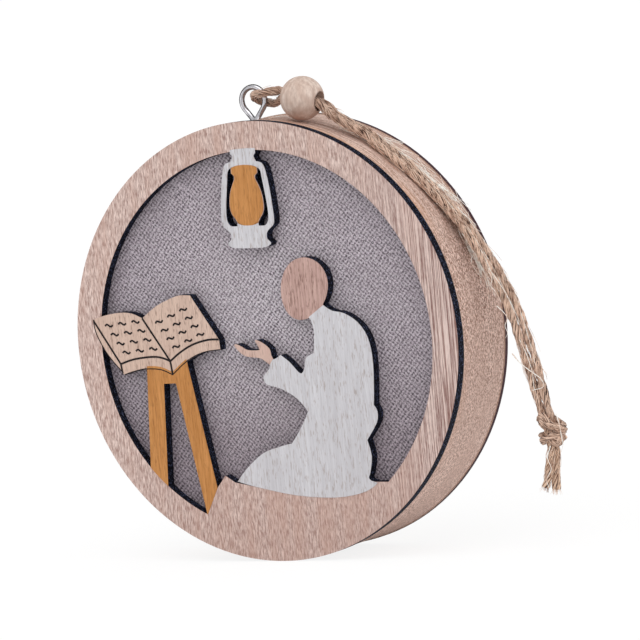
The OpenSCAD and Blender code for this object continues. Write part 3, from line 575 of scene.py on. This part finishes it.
def fabric():
    """Plain-woven grey glitter cloth: threads of 0.68 mm pitch, painted glints and dull specks, painted shade
    towards its rim, foot and left, and a burnt rim.
    """
    finish = Finish("glitter_cloth", roughness=0.55, sheen_weight=0.1, specular_ior_level=0.5)
    spot = finish.spot()
    drift = finish.node("TexNoise", finish.stretch(spot, 800, 800, 800), None, 1.0, 2.0, out=1)
    shift = finish.stretch(drift, MM, MM, MM)
    x, _, z = finish.split(finish.node("VectorMath", spot, shift, operation="ADD"))
    threads = []
    for along, up in WEAVE_LINES_MM:
        across = finish.math("MULTIPLY", x, math.pi * along / MM)
        rising = finish.math("MULTIPLY", z, math.pi * up / MM)
        threads.append(finish.math("SINE", finish.math("ADD", across, rising)))
    cross = finish.math("MULTIPLY", *threads)
    uneven = finish.noise(finish.stretch(spot, 1900, 1900, 1900), detail=2, rough=0.7)
    cloud = finish.noise(finish.stretch(spot, 60, 60, 60), detail=2)
    raised = finish.math("ADD", cross, finish.math("MULTIPLY", uneven, 4.8))
    base = finish.tinted(tone(75, 63, 72), tone(223, 212, 221), raised, (1.4, 3.4))
    base = finish.tinted(base, tone(150, 138, 144), cloud, (0.35, 0.75), share=0.3)
    cells = finish.node("TexVoronoi", finish.stretch(spot, 1500, 1500, 1500), out=1)
    cell = finish.node("SeparateColor", cells)
    # Near white specks of the glitter: painted glints
    painted_glint = finish.math("GREATER_THAN", cell, 0.9)
    base = finish.blend(finish.math("MULTIPLY", painted_glint, 0.75), base, tone(240, 237, 240))
    dull = finish.math("LESS_THAN", cell, 0.1)
    base = finish.blend(finish.math("MULTIPLY", dull, 0.6), base, tone(92, 82, 90))
    radius = finish.from_middle(x, z)[2]
    # Painted shade: the cloth grows darker out towards its rim, low down and to the left
    for colour, value, zone_mm, share in (
        (tone(181, 166, 175), radius, CLOTH_SHADE_OUTER_MM, 0.3),
        (tone(173, 161, 165), z, CLOTH_SHADE_FOOT_MM, 0.52),
        (tone(168, 156, 165), x, CLOTH_SHADE_LEFT_MM, 0.16),
    ):
        base = finish.tinted(base, colour, value, metres(zone_mm), share=share, how="MULTIPLY")
    finish.colour(finish.tinted(base, tone(*CHAR_TONE), radius, metres(CLOTH_BURNT_MM)))
    finish.bump(finish.math("ADD", finish.math("MULTIPLY", cross, 0.5), uneven), 0.15, 0.8)
    return finish.material


def nickel(name, base, roughness, edge=(255, 255, 255)):
    """Bright plated steel with faint handling marks. edge tints what it mirrors at a glancing angle."""
    finish = Finish(name, roughness=roughness, metallic=1.0, specular_tint=tone(*edge))
    mark = finish.noise(finish.stretch(finish.spot(), 900, 900, 900), detail=3, rough=0.6)
    worn = tone(*[c * 0.82 for c in base])
    finish.colour(finish.tinted(tone(*base), worn, mark, (0.35, 0.7)))
    finish.roughen(mark, roughness * 0.7, roughness * 1.4)
    finish.bump(mark, 0.01, 0.3)
    return finish.material


def bead_wood():
    """The bead: pale unvarnished wood with mottled grain, and painted warm bounce light from the rim towards
    its underside.
    """
    finish = Finish("bead_wood", roughness=0.7, specular_ior_level=0.25)
    fine = finish.noise(finish.stretch(finish.spot(), 900, 900, 260), detail=4, rough=0.65)
    broad = finish.noise(finish.stretch(finish.spot(), 260, 260, 110), detail=2, bend=0.8)
    base = finish.tinted(tone(196, 172, 159), tone(235, 216, 203), fine, (0.34, 0.66))
    base = finish.tinted(base, tone(192, 160, 143), broad, (0.42, 0.62), share=0.6)
    z = finish.split(finish.spot())[2]
    # Browner towards the underside: painted warm bounce light from the rim
    finish.colour(finish.tinted(base, tone(158, 112, 96), z, metres(BEAD_BOUNCE_LIGHT_MM), share=0.4))
    finish.bump(fine, 0.04, 0.5)
    return finish.material


def jute(name, light, dark):
    """Jute: long fibres that run with the twist, with painted shade in the gaps between them."""
    finish = Finish(name, roughness=0.85, sheen_weight=0.2, specular_ior_level=0.2)
    lie = finish.place.outputs["UV"]
    fibre = finish.noise(finish.stretch(lie, 15, 0.3, 1), detail=4, rough=0.65)
    blotch = finish.noise(finish.stretch(lie, 4, 0.25, 1), detail=2)
    base = finish.tinted(dark, light, fibre, (0.43, 0.57))
    base = finish.tinted(base, tone(232, 208, 190), blotch, (0.45, 0.7), share=0.35)
    x = finish.split(finish.spot())[0]
    base = finish.tinted(base, tone(146, 110, 92), x, metres(TWINE_NEAR_MM), share=0.0, first=0.35)
    # Near black gaps between the fibres: painted shade in the crevices
    finish.colour(finish.tinted(base, tone(50, 30, 25), fibre, (0.40, 0.45), share=0.0, first=0.95))
    finish.bump(fibre, 0.4, 1.0)
    return finish.material


def loose_fibre(name, light, dark):
    """A loose fibre of straw colour, paler and darker along its length."""
    finish = Finish(name, roughness=0.6, sheen_weight=0.6, specular_ior_level=0.4)
    tint = finish.noise(finish.stretch(finish.spot(), 400, 400, 400), detail=1)
    finish.colour(finish.tinted(dark, light, tint, (0.38, 0.52)))
    return finish.material


def plastic(name, base, roughness=0.45):
    """Moulded plastic with a fine spark texture."""
    finish = Finish(name, roughness=roughness, specular_ior_level=0.45)
    spark = finish.noise(finish.stretch(finish.spot(), 5200, 5200, 5200), detail=2, rough=0.7)
    cloud = finish.noise(finish.stretch(finish.spot(), 120, 120, 120), detail=2)
    darker = tone(*[c * 0.93 for c in base])
    finish.colour(finish.tinted(tone(*base), darker, cloud, (0.35, 0.7)))
    finish.roughen(spark, roughness, roughness + 0.15)
    finish.bump(spark, 0.02, 0.5)
    return finish.material


# CAD nodes


def dress(node, finish, bevel_mm=0.0):
    """Gives a CAD node its finish, smooth curved faces and, if asked, slightly broken edges."""
    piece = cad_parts[node]
    for slot in piece.material_slots:
        slot.material = finish
    piece.data.polygons.foreach_set("use_smooth", [True] * len(piece.data.polygons))
    weld = piece.modifiers.new("weld", "WELD")
    weld.merge_threshold = WELD_WITHIN
    if bevel_mm:
        merge = piece.modifiers.new("merge", "DECIMATE")
        merge.decimate_type = "DISSOLVE"
        merge.angle_limit = FLAT_WITHIN
        bevel = piece.modifiers.new("bevel", "BEVEL")
        bevel.width = bevel_mm * MM
        bevel.segments = 2
        bevel.limit_method = "ANGLE"
        bevel.angle_limit = SHARP_FROM
    shade = piece.modifiers.new("shade", "WEIGHTED_NORMAL")
    shade.weight = 100
    shade.keep_sharp = True


def dress_nodes():
    """A finish for each CAD node that stays, with the width of its broken edges where it has them."""
    dress("front_plate", sheet_wood(), bevel_mm=0.25)
    dress("back_plate", back_wood(), bevel_mm=0.12)
    dress("rim_band", rim_wood(), bevel_mm=0.15)
    for ink, nodes in (
        ("white_ink", ("robe_print", "lantern_print")),
        ("ochre_ink", ("stand_print", "lantern_glass_print")),
        ("head_ink", ("head_print",)),
        ("hand_ink", ("hand_print",)),
        ("page_ink", ("book_print",)),
    ):
        finish = thin_paint(ink)
        for node in nodes:
            dress(node, finish)
    dress("book_lines", line_ink())
    dress("screw_eye", nickel("eye_nickel", (194, 192, 196), 0.12, edge=(14, 13, 16)))
    dress("bead", bead_wood())
    dress("battery_case", plastic("case_plastic", (46, 46, 49)))
    dress("battery_door", plastic("door_plastic", (54, 54, 58)), bevel_mm=0.12)
    dress("coin_cells", nickel("cell_steel", (196, 198, 202), 0.28))
    contact = nickel("contact_nickel", (190, 188, 180), 0.25)
    dress("negative_contact", contact)
    dress("positive_contact", contact)
    dress("switch_body", nickel("switch_shell", (178, 180, 184), 0.32))
    dress("switch_slider", plastic("switch_knob", (226, 226, 226), 0.5), bevel_mm=0.1)
    dress("light_board", plastic("board_mask", (44, 96, 66), 0.35))
    dress("leds", plastic("led_lens", (244, 236, 200), 0.2))
    dress("module_screws", nickel("screw_steel", (170, 172, 178), 0.22))


# Twine


def route_part(i, start, end):
    """How far point i is from one route point to another, 0 to 1."""
    return min(1.0, max(0.0, (i - start) / (end - start)))


def pair_strand(side):
    """The route of one strand of the pair beside the common route, as the source works it out."""
    route = np.array(PAIR_ROUTE_MM, float)
    last = len(route) - 1
    out = []
    for i, point in enumerate(route):
        ahead = (1, 0, 0) if i == 0 else unit(route[min(i + 1, last)] - route[i - 1])
        outward = unit(np.cross(ahead, (0, 1, 0)))
        at_bead = BEAD_TURN * (route_part(i, 0, BEAD_TURN_TO) - 1)
        turn = at_bead + PAIR_TURN * route_part(i, PAIR_TURN_FROM, last)
        swell = PAIR_SWELL * math.sin(math.pi * route_part(i, PAIR_SWELL_FROM, PAIR_SWELL_TO))
        reach = PAIR_MM / 2 * (1 + swell)
        out.append(point + side * reach * (math.cos(turn) * np.array((0, 1, 0)) + math.sin(turn) * outward))
    return out


def yarn(name, line, finish, radius, first, seed, flare=0.0):
    """A two-ply strand along a line: plies and fibre ridges turn with the twist. flare widens its end."""
    rng = np.random.default_rng(seed)
    along = run_length(line)[:, None]
    angle = np.linspace(0, 2 * np.pi, YARN_SIDES, endpoint=False)[None, :]
    lay = angle - 2 * np.pi * along / YARN_PITCH + rng.uniform(0, 6)
    ply, offset = 0.74 * radius, 0.30 * radius
    radii = offset * np.abs(np.cos(lay)) + np.sqrt(ply**2 - (offset * np.sin(lay)) ** 2)
    for ridges in YARN_RIDGES:
        slow = 1 + 0.6 * np.sin(along * rng.uniform(300, 900) + rng.uniform(0, 6))
        drift = along * rng.uniform(-160, 160)
        radii += YARN_RIDGE_SHARE * radius * slow * np.sin(ridges * (lay + drift) + rng.uniform(0, 6))
    radii *= 1 + 0.05 * np.sin(along * rng.uniform(250, 400) + rng.uniform(0, 6))
    radii *= 1 + flare * np.clip(along / along[-1] * 2.2 - 1.2, 0, 1)
    points = tube_rings(line, radii, first=first).reshape(-1, 3)
    wrap = angle / (2 * np.pi) - along / YARN_PITCH
    uvs = np.column_stack([wrap.ravel(), (along / radius + 0 * angle).ravel()])
    return mesh_piece(name, points, tube_faces(len(line), YARN_SIDES), finish, uvs)


def hairs(name, groups, finish, seed):
    """Fine round fibres, thinner towards their tips: groups pairs a list of paths with a range of radii."""
    rng = random.Random(seed)
    points, faces = [], []
    for path, radii_mm in [(path, radii_mm) for paths, radii_mm in groups for path in paths]:
        taper = np.linspace(1, FIBRE_TIP, len(path))[:, None] * np.ones((1, FIBRE_SIDES))
        faces.extend(tube_faces(len(path), FIBRE_SIDES, len(points)))
        points.extend(tube_rings(path, taper * rng.uniform(*radii_mm) * MM).reshape(-1, 3))
    return mesh_piece(name, points, faces, finish)


def nearest_point(along, distance):
    """The number of the line's point that lies at that distance along it."""
    return int(np.searchsorted(along, distance).clip(0, len(along) - 1))


def loose_paths(line, count, reach_mm, seed, length_mm=(4, 14), start_share=(0, 1)):
    """Ways of stray fibres that leave a strand's surface and drift or curl back beside it."""
    rng = random.Random(seed)
    across, over = side_axes(line)
    along = run_length(line)
    paths = []
    for _ in range(count):
        run = rng.uniform(*length_mm) * MM
        begin = along[-1] * start_share[0]
        start = rng.uniform(begin, max(along[-1] * start_share[1] - run, begin + MM))
        angle = rng.uniform(0, 2 * math.pi)
        turn = rng.uniform(-2.4, 2.4)
        rise = rng.uniform(0.05, 1.0) ** 2 * reach_mm * MM
        wave = rng.uniform(0, 6)
        path = []
        for share in np.linspace(0, 1, 9):
            i = nearest_point(along, start + share * run)
            a = angle + turn * share
            lift = TWINE_MM * MM * 0.49 + rise * share * (0.75 + 0.25 * math.sin(wave + 4 * share))
            path.append(line[i] + lift * (math.cos(a) * across[i] + math.sin(a) * over[i]))
        paths.append(smooth_curve(path, run / 22))
    return paths


def lying_paths(line, count, seed, length_mm=(6, 20), twist_share=(0.5, 1.4)):
    """Ways of fibres that lie on a strand and follow its twist."""
    rng = random.Random(seed)
    across, over = side_axes(line)
    along = run_length(line)
    paths = []
    for _ in range(count):
        run = rng.uniform(*length_mm) * MM
        start = rng.uniform(0.0, along[-1] - run)
        angle = rng.uniform(0, 2 * math.pi)
        slant = rng.uniform(*twist_share) * 2 * math.pi * run / YARN_PITCH
        path = []
        for share in np.linspace(0, 1, 12):
            i = nearest_point(along, start + share * run)
            a = angle + slant * share
            lift = TWINE_MM * MM * (0.505 + 0.03 * math.sin(math.pi * share))
            path.append(line[i] + lift * (math.cos(a) * across[i] + math.sin(a) * over[i]))
        paths.append(smooth_curve(path, run / 26))
    return paths


def frayed_end(line, count, seed):
    """Ways of the fibres that stand out of a cut end, a little splayed."""
    rng = random.Random(seed)
    across, over = side_axes(line)
    ahead = unit(line[-1] - line[-8])
    paths = []
    for _ in range(count):
        angle = rng.uniform(0, 2 * math.pi)
        spread = math.sqrt(rng.uniform(0, 1))
        out = math.cos(angle) * across[-1] + math.sin(angle) * over[-1]
        base = line[-1] - 1.2 * MM * ahead + 0.85 * spread * TWINE_MM / 2 * MM * out
        reach = rng.uniform(1.4, 3.0) * MM
        bend = rng.uniform(0.0, 0.9) * spread * MM
        middle = base + 0.6 * reach * ahead + 0.3 * bend * out
        paths.append(smooth_curve([base, middle, base + reach * ahead + bend * out], 0.2 * MM))
    return paths


def web_paths(line, count, seed):
    """Ways of frayed fibres that leave the rear strand, fan out over the rim behind it and cross."""
    rng = random.Random(seed)
    along = run_length(line)
    centre = np.array([PLATE_CENTRE_MM[0], 0, PLATE_CENTRE_MM[1]]) * MM
    paths = []
    for _ in range(count):
        run = rng.uniform(*WEB_RUN_MM) * MM * rng.choice((1, 1, 1, -1))
        start = rng.uniform(WEB_FROM_MM * MM + max(0, -run), WEB_TO_MM * MM - max(0, run) / 2)
        back = rng.uniform(0.1, 1.0) * WEB_WIDE_MM * MM
        leave = rng.uniform(0.7, 1.6)
        bow = rng.uniform(-WEB_BOW_MM, WEB_BOW_MM) * MM
        height = rng.uniform(*WEB_HEIGHT_MM) * MM
        path = []
        for share in np.linspace(0, 1, 9):
            i = nearest_point(along, start + share * run)
            depth = min(WEB_WIDE_MM * MM, max(0, back * share**leave + bow * math.sin(math.pi * share)))
            out = line[i] - centre
            out[1] = 0
            far = np.linalg.norm(out)
            fall = min(1, 2.5 * share)
            lies = RIM_RADIUS_MM * MM + height * (0.6 + 0.4 * math.sin(3 * share + run * 900))
            out = out / far * (far + fall * (lies - far))
            path.append(centre + out + (0, line[i][1] + depth, 0))
        paths.append(smooth_curve(path, abs(run) / 22))
    return paths


def knot_line(t, side):
    """A strand's way through the overhand knot, in millimetres from the knot's middle."""
    x = 1.05 * (t**3 - 3 * t) + 0.7
    y = 0.95 * (t**4 - 4 * t**2 + 2)
    z = -0.30 * (t**5 - 10 * t)
    line = np.column_stack([x, y, z])
    ahead = unit(np.gradient(line, axis=0))
    square = unit(np.cross(ahead, (0.15, 1.0, 0.1)))
    return line + side * 0.85 * square


def knot_turns():
    """The cords of the knot, in millimetres from its middle: the overhand pair and two wraps round it."""
    t = np.linspace(-1.98, 1.98, 200)
    turns = [knot_line(t, side) for side in (-1, 1)]
    around = np.linspace(-0.4, 2 * math.pi + 0.3, 90)
    for reach, tilt, lift, start in ((2.9, 0.42, 1.5, 2.4), (3.1, -0.30, -1.5, 3.4)):
        a = around + start
        x = KNOT_BULGE_MM + reach * np.cos(a)
        z = lift - tilt * reach * np.cos(a) + 0.8 * (around / math.pi - 1)
        turns.append(np.column_stack([x, 0.82 * reach * np.sin(a), z]))
    return turns


def free_strand(label, fold, side, finishes):
    """A strand from the fold in the eye to the knot: its yarn, its line, its fuzz and its frayed fibres."""
    jute_main, short, pale = finishes
    into_knot = np.add(KNOT_PLACE_MM, (0.3 * side, 0.6 * side, 1.0))
    line = smooth_curve(np.array([*fold, *pair_strand(side), into_knot], float) * MM, STRAND_STEP_MM * MM)
    strand = yarn("strand_" + label, line, jute_main, TWINE_MM / 2 * MM, (1, 0, 0), seed=3 + side)
    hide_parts("twine_" + label)
    paths = loose_paths(line[FUZZ_POINTS], FUZZ_COUNT, FUZZ_REACH_MM, seed=11 + side)
    paths += lying_paths(line[LYING_POINTS], LYING_COUNT, seed=13 + side)
    paths += loose_paths(line, SHORT_COUNT, MOUTH_REACH_MM, 19 + side, SHORT_LENGTH_MM, MOUTH_SHARES)
    paths += loose_paths(line, SHORT_COUNT, FOLD_REACH_MM, 23 + side, SHORT_LENGTH_MM, FOLD_SHARES)
    straight = lying_paths(
        line[STRAIGHT_POINTS], STRAIGHT_COUNT, 61 + side, STRAIGHT_LENGTH_MM, STRAIGHT_TWIST
    )
    if label == "rear":
        apart = web_paths(line, WEB_COUNT, seed=17)
    else:
        apart = [smooth_curve(np.array(stray) * MM, STRAY_STEP_MM * MM) for stray in STRAY_MM]
    fuzz = hairs("fuzz_" + label, [(paths, FUZZ_FIBRE_MM)], short, seed=15 + side)
    groups = [(apart, FRAYED_FIBRE_MM), (straight, STRAIGHT_FIBRE_MM)]
    frayed = hairs("frayed_" + label, groups, pale, seed=71 + side)
    return strand, line, fuzz, frayed


def make_knot(finish):
    """The knot that closes the loop: one mesh of its wound cords."""
    points, faces, uvs = [], [], []
    for seed, turn in enumerate(knot_turns()):
        line = smooth_curve((turn + KNOT_PLACE_MM) * MM, KNOT_STEP_MM * MM)
        radius = TWINE_MM / 2 * MM * KNOT_CORD_SHARE
        part = yarn("knot_part", line, finish, radius, (0, 1, 0), seed=20 + seed)
        start = len(points)
        points.extend([tuple(v.co) for v in part.data.vertices])
        faces.extend([tuple(start + i for i in f.vertices) for f in part.data.polygons])
        found = np.zeros((len(part.data.vertices), 2))
        for corner, uv in zip(part.data.loops, part.data.uv_layers["fibre"].data):
            found[corner.vertex_index] = uv.uv
        uvs.extend(found)
        bpy.data.objects.remove(part)
    knot = mesh_piece("knot", points, faces, finish, uvs)
    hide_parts("twine_knot")
    return knot


def make_tail(label, route, side, finish, short):
    """A short end below the knot, with its fuzz."""
    start = np.add(KNOT_PLACE_MM, (0.4 * side, 0.6 * side, 0.0))
    line = smooth_curve(np.array([start, *route]) * MM, KNOT_STEP_MM * MM)
    radius = TWINE_MM / 2 * MM * TAIL_CORD_SHARE
    tail = yarn("tail_" + label, line, finish, radius, (0, 1, 0), seed=30 + side, flare=TAIL_FLARE)
    free = line[TAIL_POINTS]
    paths = loose_paths(free, TAIL_FUZZ_COUNT, TAIL_REACH_MM, 41 + side, TAIL_FUZZ_LENGTH_MM)
    paths += lying_paths(free, TAIL_LYING_COUNT, 47 + side, TAIL_LYING_LENGTH_MM)
    paths += frayed_end(line, CUT_END_COUNT, seed=51 + side)
    return tail, hairs("tail_fuzz_" + label, [(paths, TAIL_FIBRE_MM)], short, seed=43 + side)


def make_twine():
    """Two free strands, the knot that closes them, their tails and the stray fibres."""
    jute_main = jute("jute_twine", tone(240, 205, 182), tone(140, 103, 82))
    jute_end = jute("jute_tails", tone(252, 218, 190), tone(152, 108, 82))
    short = loose_fibre("short_fibre", tone(240, 210, 188), tone(150, 108, 84))
    pale = loose_fibre("pale_fibre", tone(255, 250, 242), tone(240, 212, 192))
    finishes = (jute_main, short, pale)
    front, front_line, front_fuzz, front_frays = free_strand("front", FOLD_FRONT_MM, -1, finishes)
    rear, rear_line, rear_fuzz, rear_frays = free_strand("rear", FOLD_REAR_MM, 1, finishes)
    knot = make_knot(jute_main)
    front_tail, front_tail_fuzz = make_tail("front", TAIL_FRONT_MM, -1, jute_end, short)
    rear_tail, rear_tail_fuzz = make_tail("rear", TAIL_REAR_MM, 1, jute_end, short)
    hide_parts("twine_tails")
    on_front = [knot, front_tail, front_frays, front_fuzz, front_tail_fuzz]
    on_rear = [rear_tail, rear_frays, rear_fuzz, rear_tail_fuzz]
    for piece in [front, rear, *on_front, *on_rear]:
        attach(piece, "hanger")


# Fabric screen


def make_fabric():
    """The cloth between sheet and rim: a flat disc, a touch uneven where the window shows it."""
    rng = np.random.default_rng(5)
    rings, sides = CLOTH_RINGS, CLOTH_SIDES
    radius = FABRIC_RADIUS_MM * MM
    middle = np.array([PLATE_CENTRE_MM[0], 0, PLATE_CENTRE_MM[1]]) * MM
    front, back = FABRIC_FRONT_MM + CLOTH_INSET_MM, FABRIC_BACK_MM - CLOTH_INSET_MM
    waves = [(rng.uniform(60, 260), rng.uniform(0, 6), rng.uniform(0, 6)) for _ in range(CLOTH_WAVES)]
    points = []
    for level in (front, back):
        for i in range(rings + 1):
            r = radius * i / rings
            for k in range(sides if i else 1):
                a = 2 * math.pi * k / sides
                x, z = r * math.cos(a), r * math.sin(a)
                sway = sum(math.sin(f * (x * math.cos(d) + z * math.sin(d)) + p) for f, d, p in waves)
                calm = min(1.0, max(0.0, (WINDOW_RADIUS_MM * MM - r) / (CLOTH_CALM_MM * MM)))
                lift = CLOTH_WAVE_MM * (1 + sway / CLOTH_WAVES) * calm if level == front else 0.0
                points.append(middle + (x, (level + lift) * MM, z))
    half = 1 + rings * sides
    faces = []
    for start, flip in ((0, False), (half, True)):
        for k in range(sides):
            n = (k + 1) % sides
            face = (start, start + 1 + n, start + 1 + k)
            faces.append(face[::-1] if flip else face)
        for i in range(1, rings):
            for k in range(sides):
                n = (k + 1) % sides
                a = start + 1 + (i - 1) * sides
                face = (a + k, a + n, a + sides + n, a + sides + k)
                faces.append(face[::-1] if flip else face)
    outer = 1 + (rings - 1) * sides
    for k in range(sides):
        n = (k + 1) % sides
        faces.append((outer + k, outer + n, half + outer + n, half + outer + k))
    cloth = mesh_piece("fabric", points, faces, fabric())
    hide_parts("fabric_screen")
    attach(cloth, "ornament")


# Floor and light


def white_to_camera(tree):
    """1 for camera, glossy and transmission rays, so that the white background shows in metal too."""
    path = tree.nodes.new("ShaderNodeLightPath")
    seen = path.outputs["Is Camera Ray"]
    for ray in ("Is Glossy Ray", "Is Transmission Ray"):
        either = tree.nodes.new("ShaderNodeMath")
        either.operation = "MAXIMUM"
        tree.links.new(seen, either.inputs[0])
        tree.links.new(path.outputs[ray], either.inputs[1])
        seen = either.outputs[0]
    return seen


def make_floor():
    """A plain pale floor that reads white and keeps the shadow."""
    level = cad_box[0].z
    corners = [(x * FLOOR_HALF, y * FLOOR_HALF, level) for x, y in ((-1, -1), (1, -1), (1, 1), (-1, 1))]
    material = bpy.data.materials.new("floor_white")
    material.use_nodes = True
    tree = material.node_tree
    tree.nodes.clear()
    matt = tree.nodes.new("ShaderNodeBsdfDiffuse")
    matt.inputs["Color"].default_value = FLOOR_COLOUR
    glow = tree.nodes.new("ShaderNodeEmission")
    glow.inputs["Strength"].default_value = FLOOR_GLOW
    share = tree.nodes.new("ShaderNodeMath")
    share.operation = "MULTIPLY"
    share.inputs[1].default_value = FLOOR_GLOW_SHARE
    mix = tree.nodes.new("ShaderNodeMixShader")
    out = tree.nodes.new("ShaderNodeOutputMaterial")
    tree.links.new(white_to_camera(tree), share.inputs[0])
    tree.links.new(share.outputs[0], mix.inputs[0])
    tree.links.new(matt.outputs[0], mix.inputs[1])
    tree.links.new(glow.outputs[0], mix.inputs[2])
    tree.links.new(mix.outputs[0], out.inputs["Surface"])
    floor = mesh_piece("floor", corners, [(0, 1, 2, 3)], material)


def make_world():
    """A plain world: white to the camera, and softer as light on the part."""
    world = bpy.data.worlds.new("studio")
    world.use_nodes = True
    bpy.context.scene.world = world
    tree = world.node_tree
    sky = tree.nodes["Background"]
    strength = tree.nodes.new("ShaderNodeMapRange")
    strength.inputs["To Min"].default_value = SKY_ON_PART
    strength.inputs["To Max"].default_value = SKY_SEEN
    tree.links.new(white_to_camera(tree), strength.inputs["Value"])
    tree.links.new(strength.outputs[0], sky.inputs["Strength"])
    sky.inputs["Color"].default_value = SKY_COLOUR


def make_light(name, toward, strength, softness):
    """A wide soft lamp from far away: it shines along toward, with softness in degrees."""
    data = bpy.data.lights.new(name, "SUN")
    data.energy = strength
    data.angle = math.radians(softness)
    lamp = bpy.data.objects.new(name, data)
    lamp.rotation_mode = "QUATERNION"
    lamp.rotation_quaternion = Vector(toward).to_track_quat("-Z", "Y")
    bpy.context.scene.collection.objects.link(lamp)


def make_glow(name, place, size, power):
    """A small soft lamp near the part that looks at its middle."""
    data = bpy.data.lights.new(name, "AREA")
    data.size = size
    data.energy = power
    lamp = bpy.data.objects.new(name, data)
    lamp.location = place
    toward = Vector((PLATE_CENTRE_MM[0] * MM, 0, PLATE_CENTRE_MM[1] * MM)) - Vector(place)
    lamp.rotation_mode = "QUATERNION"
    lamp.rotation_quaternion = toward.to_track_quat("-Z", "Y")
    bpy.context.scene.collection.objects.link(lamp)


def make_flag(name, angle):
    """A dark card behind the part that only bright metal mirrors. angle turns it about the view."""
    ahead = (Vector(CAMERA_AIM) - Vector(CAMERA_PLACE)).normalized()
    side = ahead.cross(Vector((0, 0, 1))).normalized()
    over = side.cross(ahead)
    out = math.cos(angle) * side + math.sin(angle) * over
    across = ahead.cross(out)
    middle = Vector(CAMERA_AIM) + FLAG_REACH * (math.cos(FLAG_TILT) * ahead + math.sin(FLAG_TILT) * out)
    slope = -math.sin(FLAG_TILT) * ahead + math.cos(FLAG_TILT) * out
    corners = [
        middle + a * FLAG_HALF * across + b * FLAG_DEPTH_SHARE * FLAG_HALF * slope
        for a, b in ((-1, -1), (1, -1), (1, 1), (-1, 1))
    ]
    finish = Finish(name, roughness=1.0, specular_ior_level=0.0).colour(FLAG_DARK)
    card = mesh_piece(name, corners, [(0, 1, 2, 3)], finish.material)
    card.visible_camera = False
    card.visible_diffuse = False
    card.visible_transmission = False
    card.visible_shadow = False


aim_camera()
make_twine()
make_fabric()
dress_nodes()
make_floor()
make_world()
make_light("key", toward=(-0.15, 0.55, -1.0), strength=0.80, softness=50)
make_light("fill", toward=(-1.0, 0.3, -0.2), strength=0.72, softness=80)
make_glow("left_glow", place=(-0.17, -0.16, -0.03), size=0.12, power=0.034)
make_flag("flag_right", 0.0)
make_flag("flag_left", math.pi)
make_flag("flag_top", math.pi / 2)

bpy.context.scene.view_settings.view_transform = "Standard"
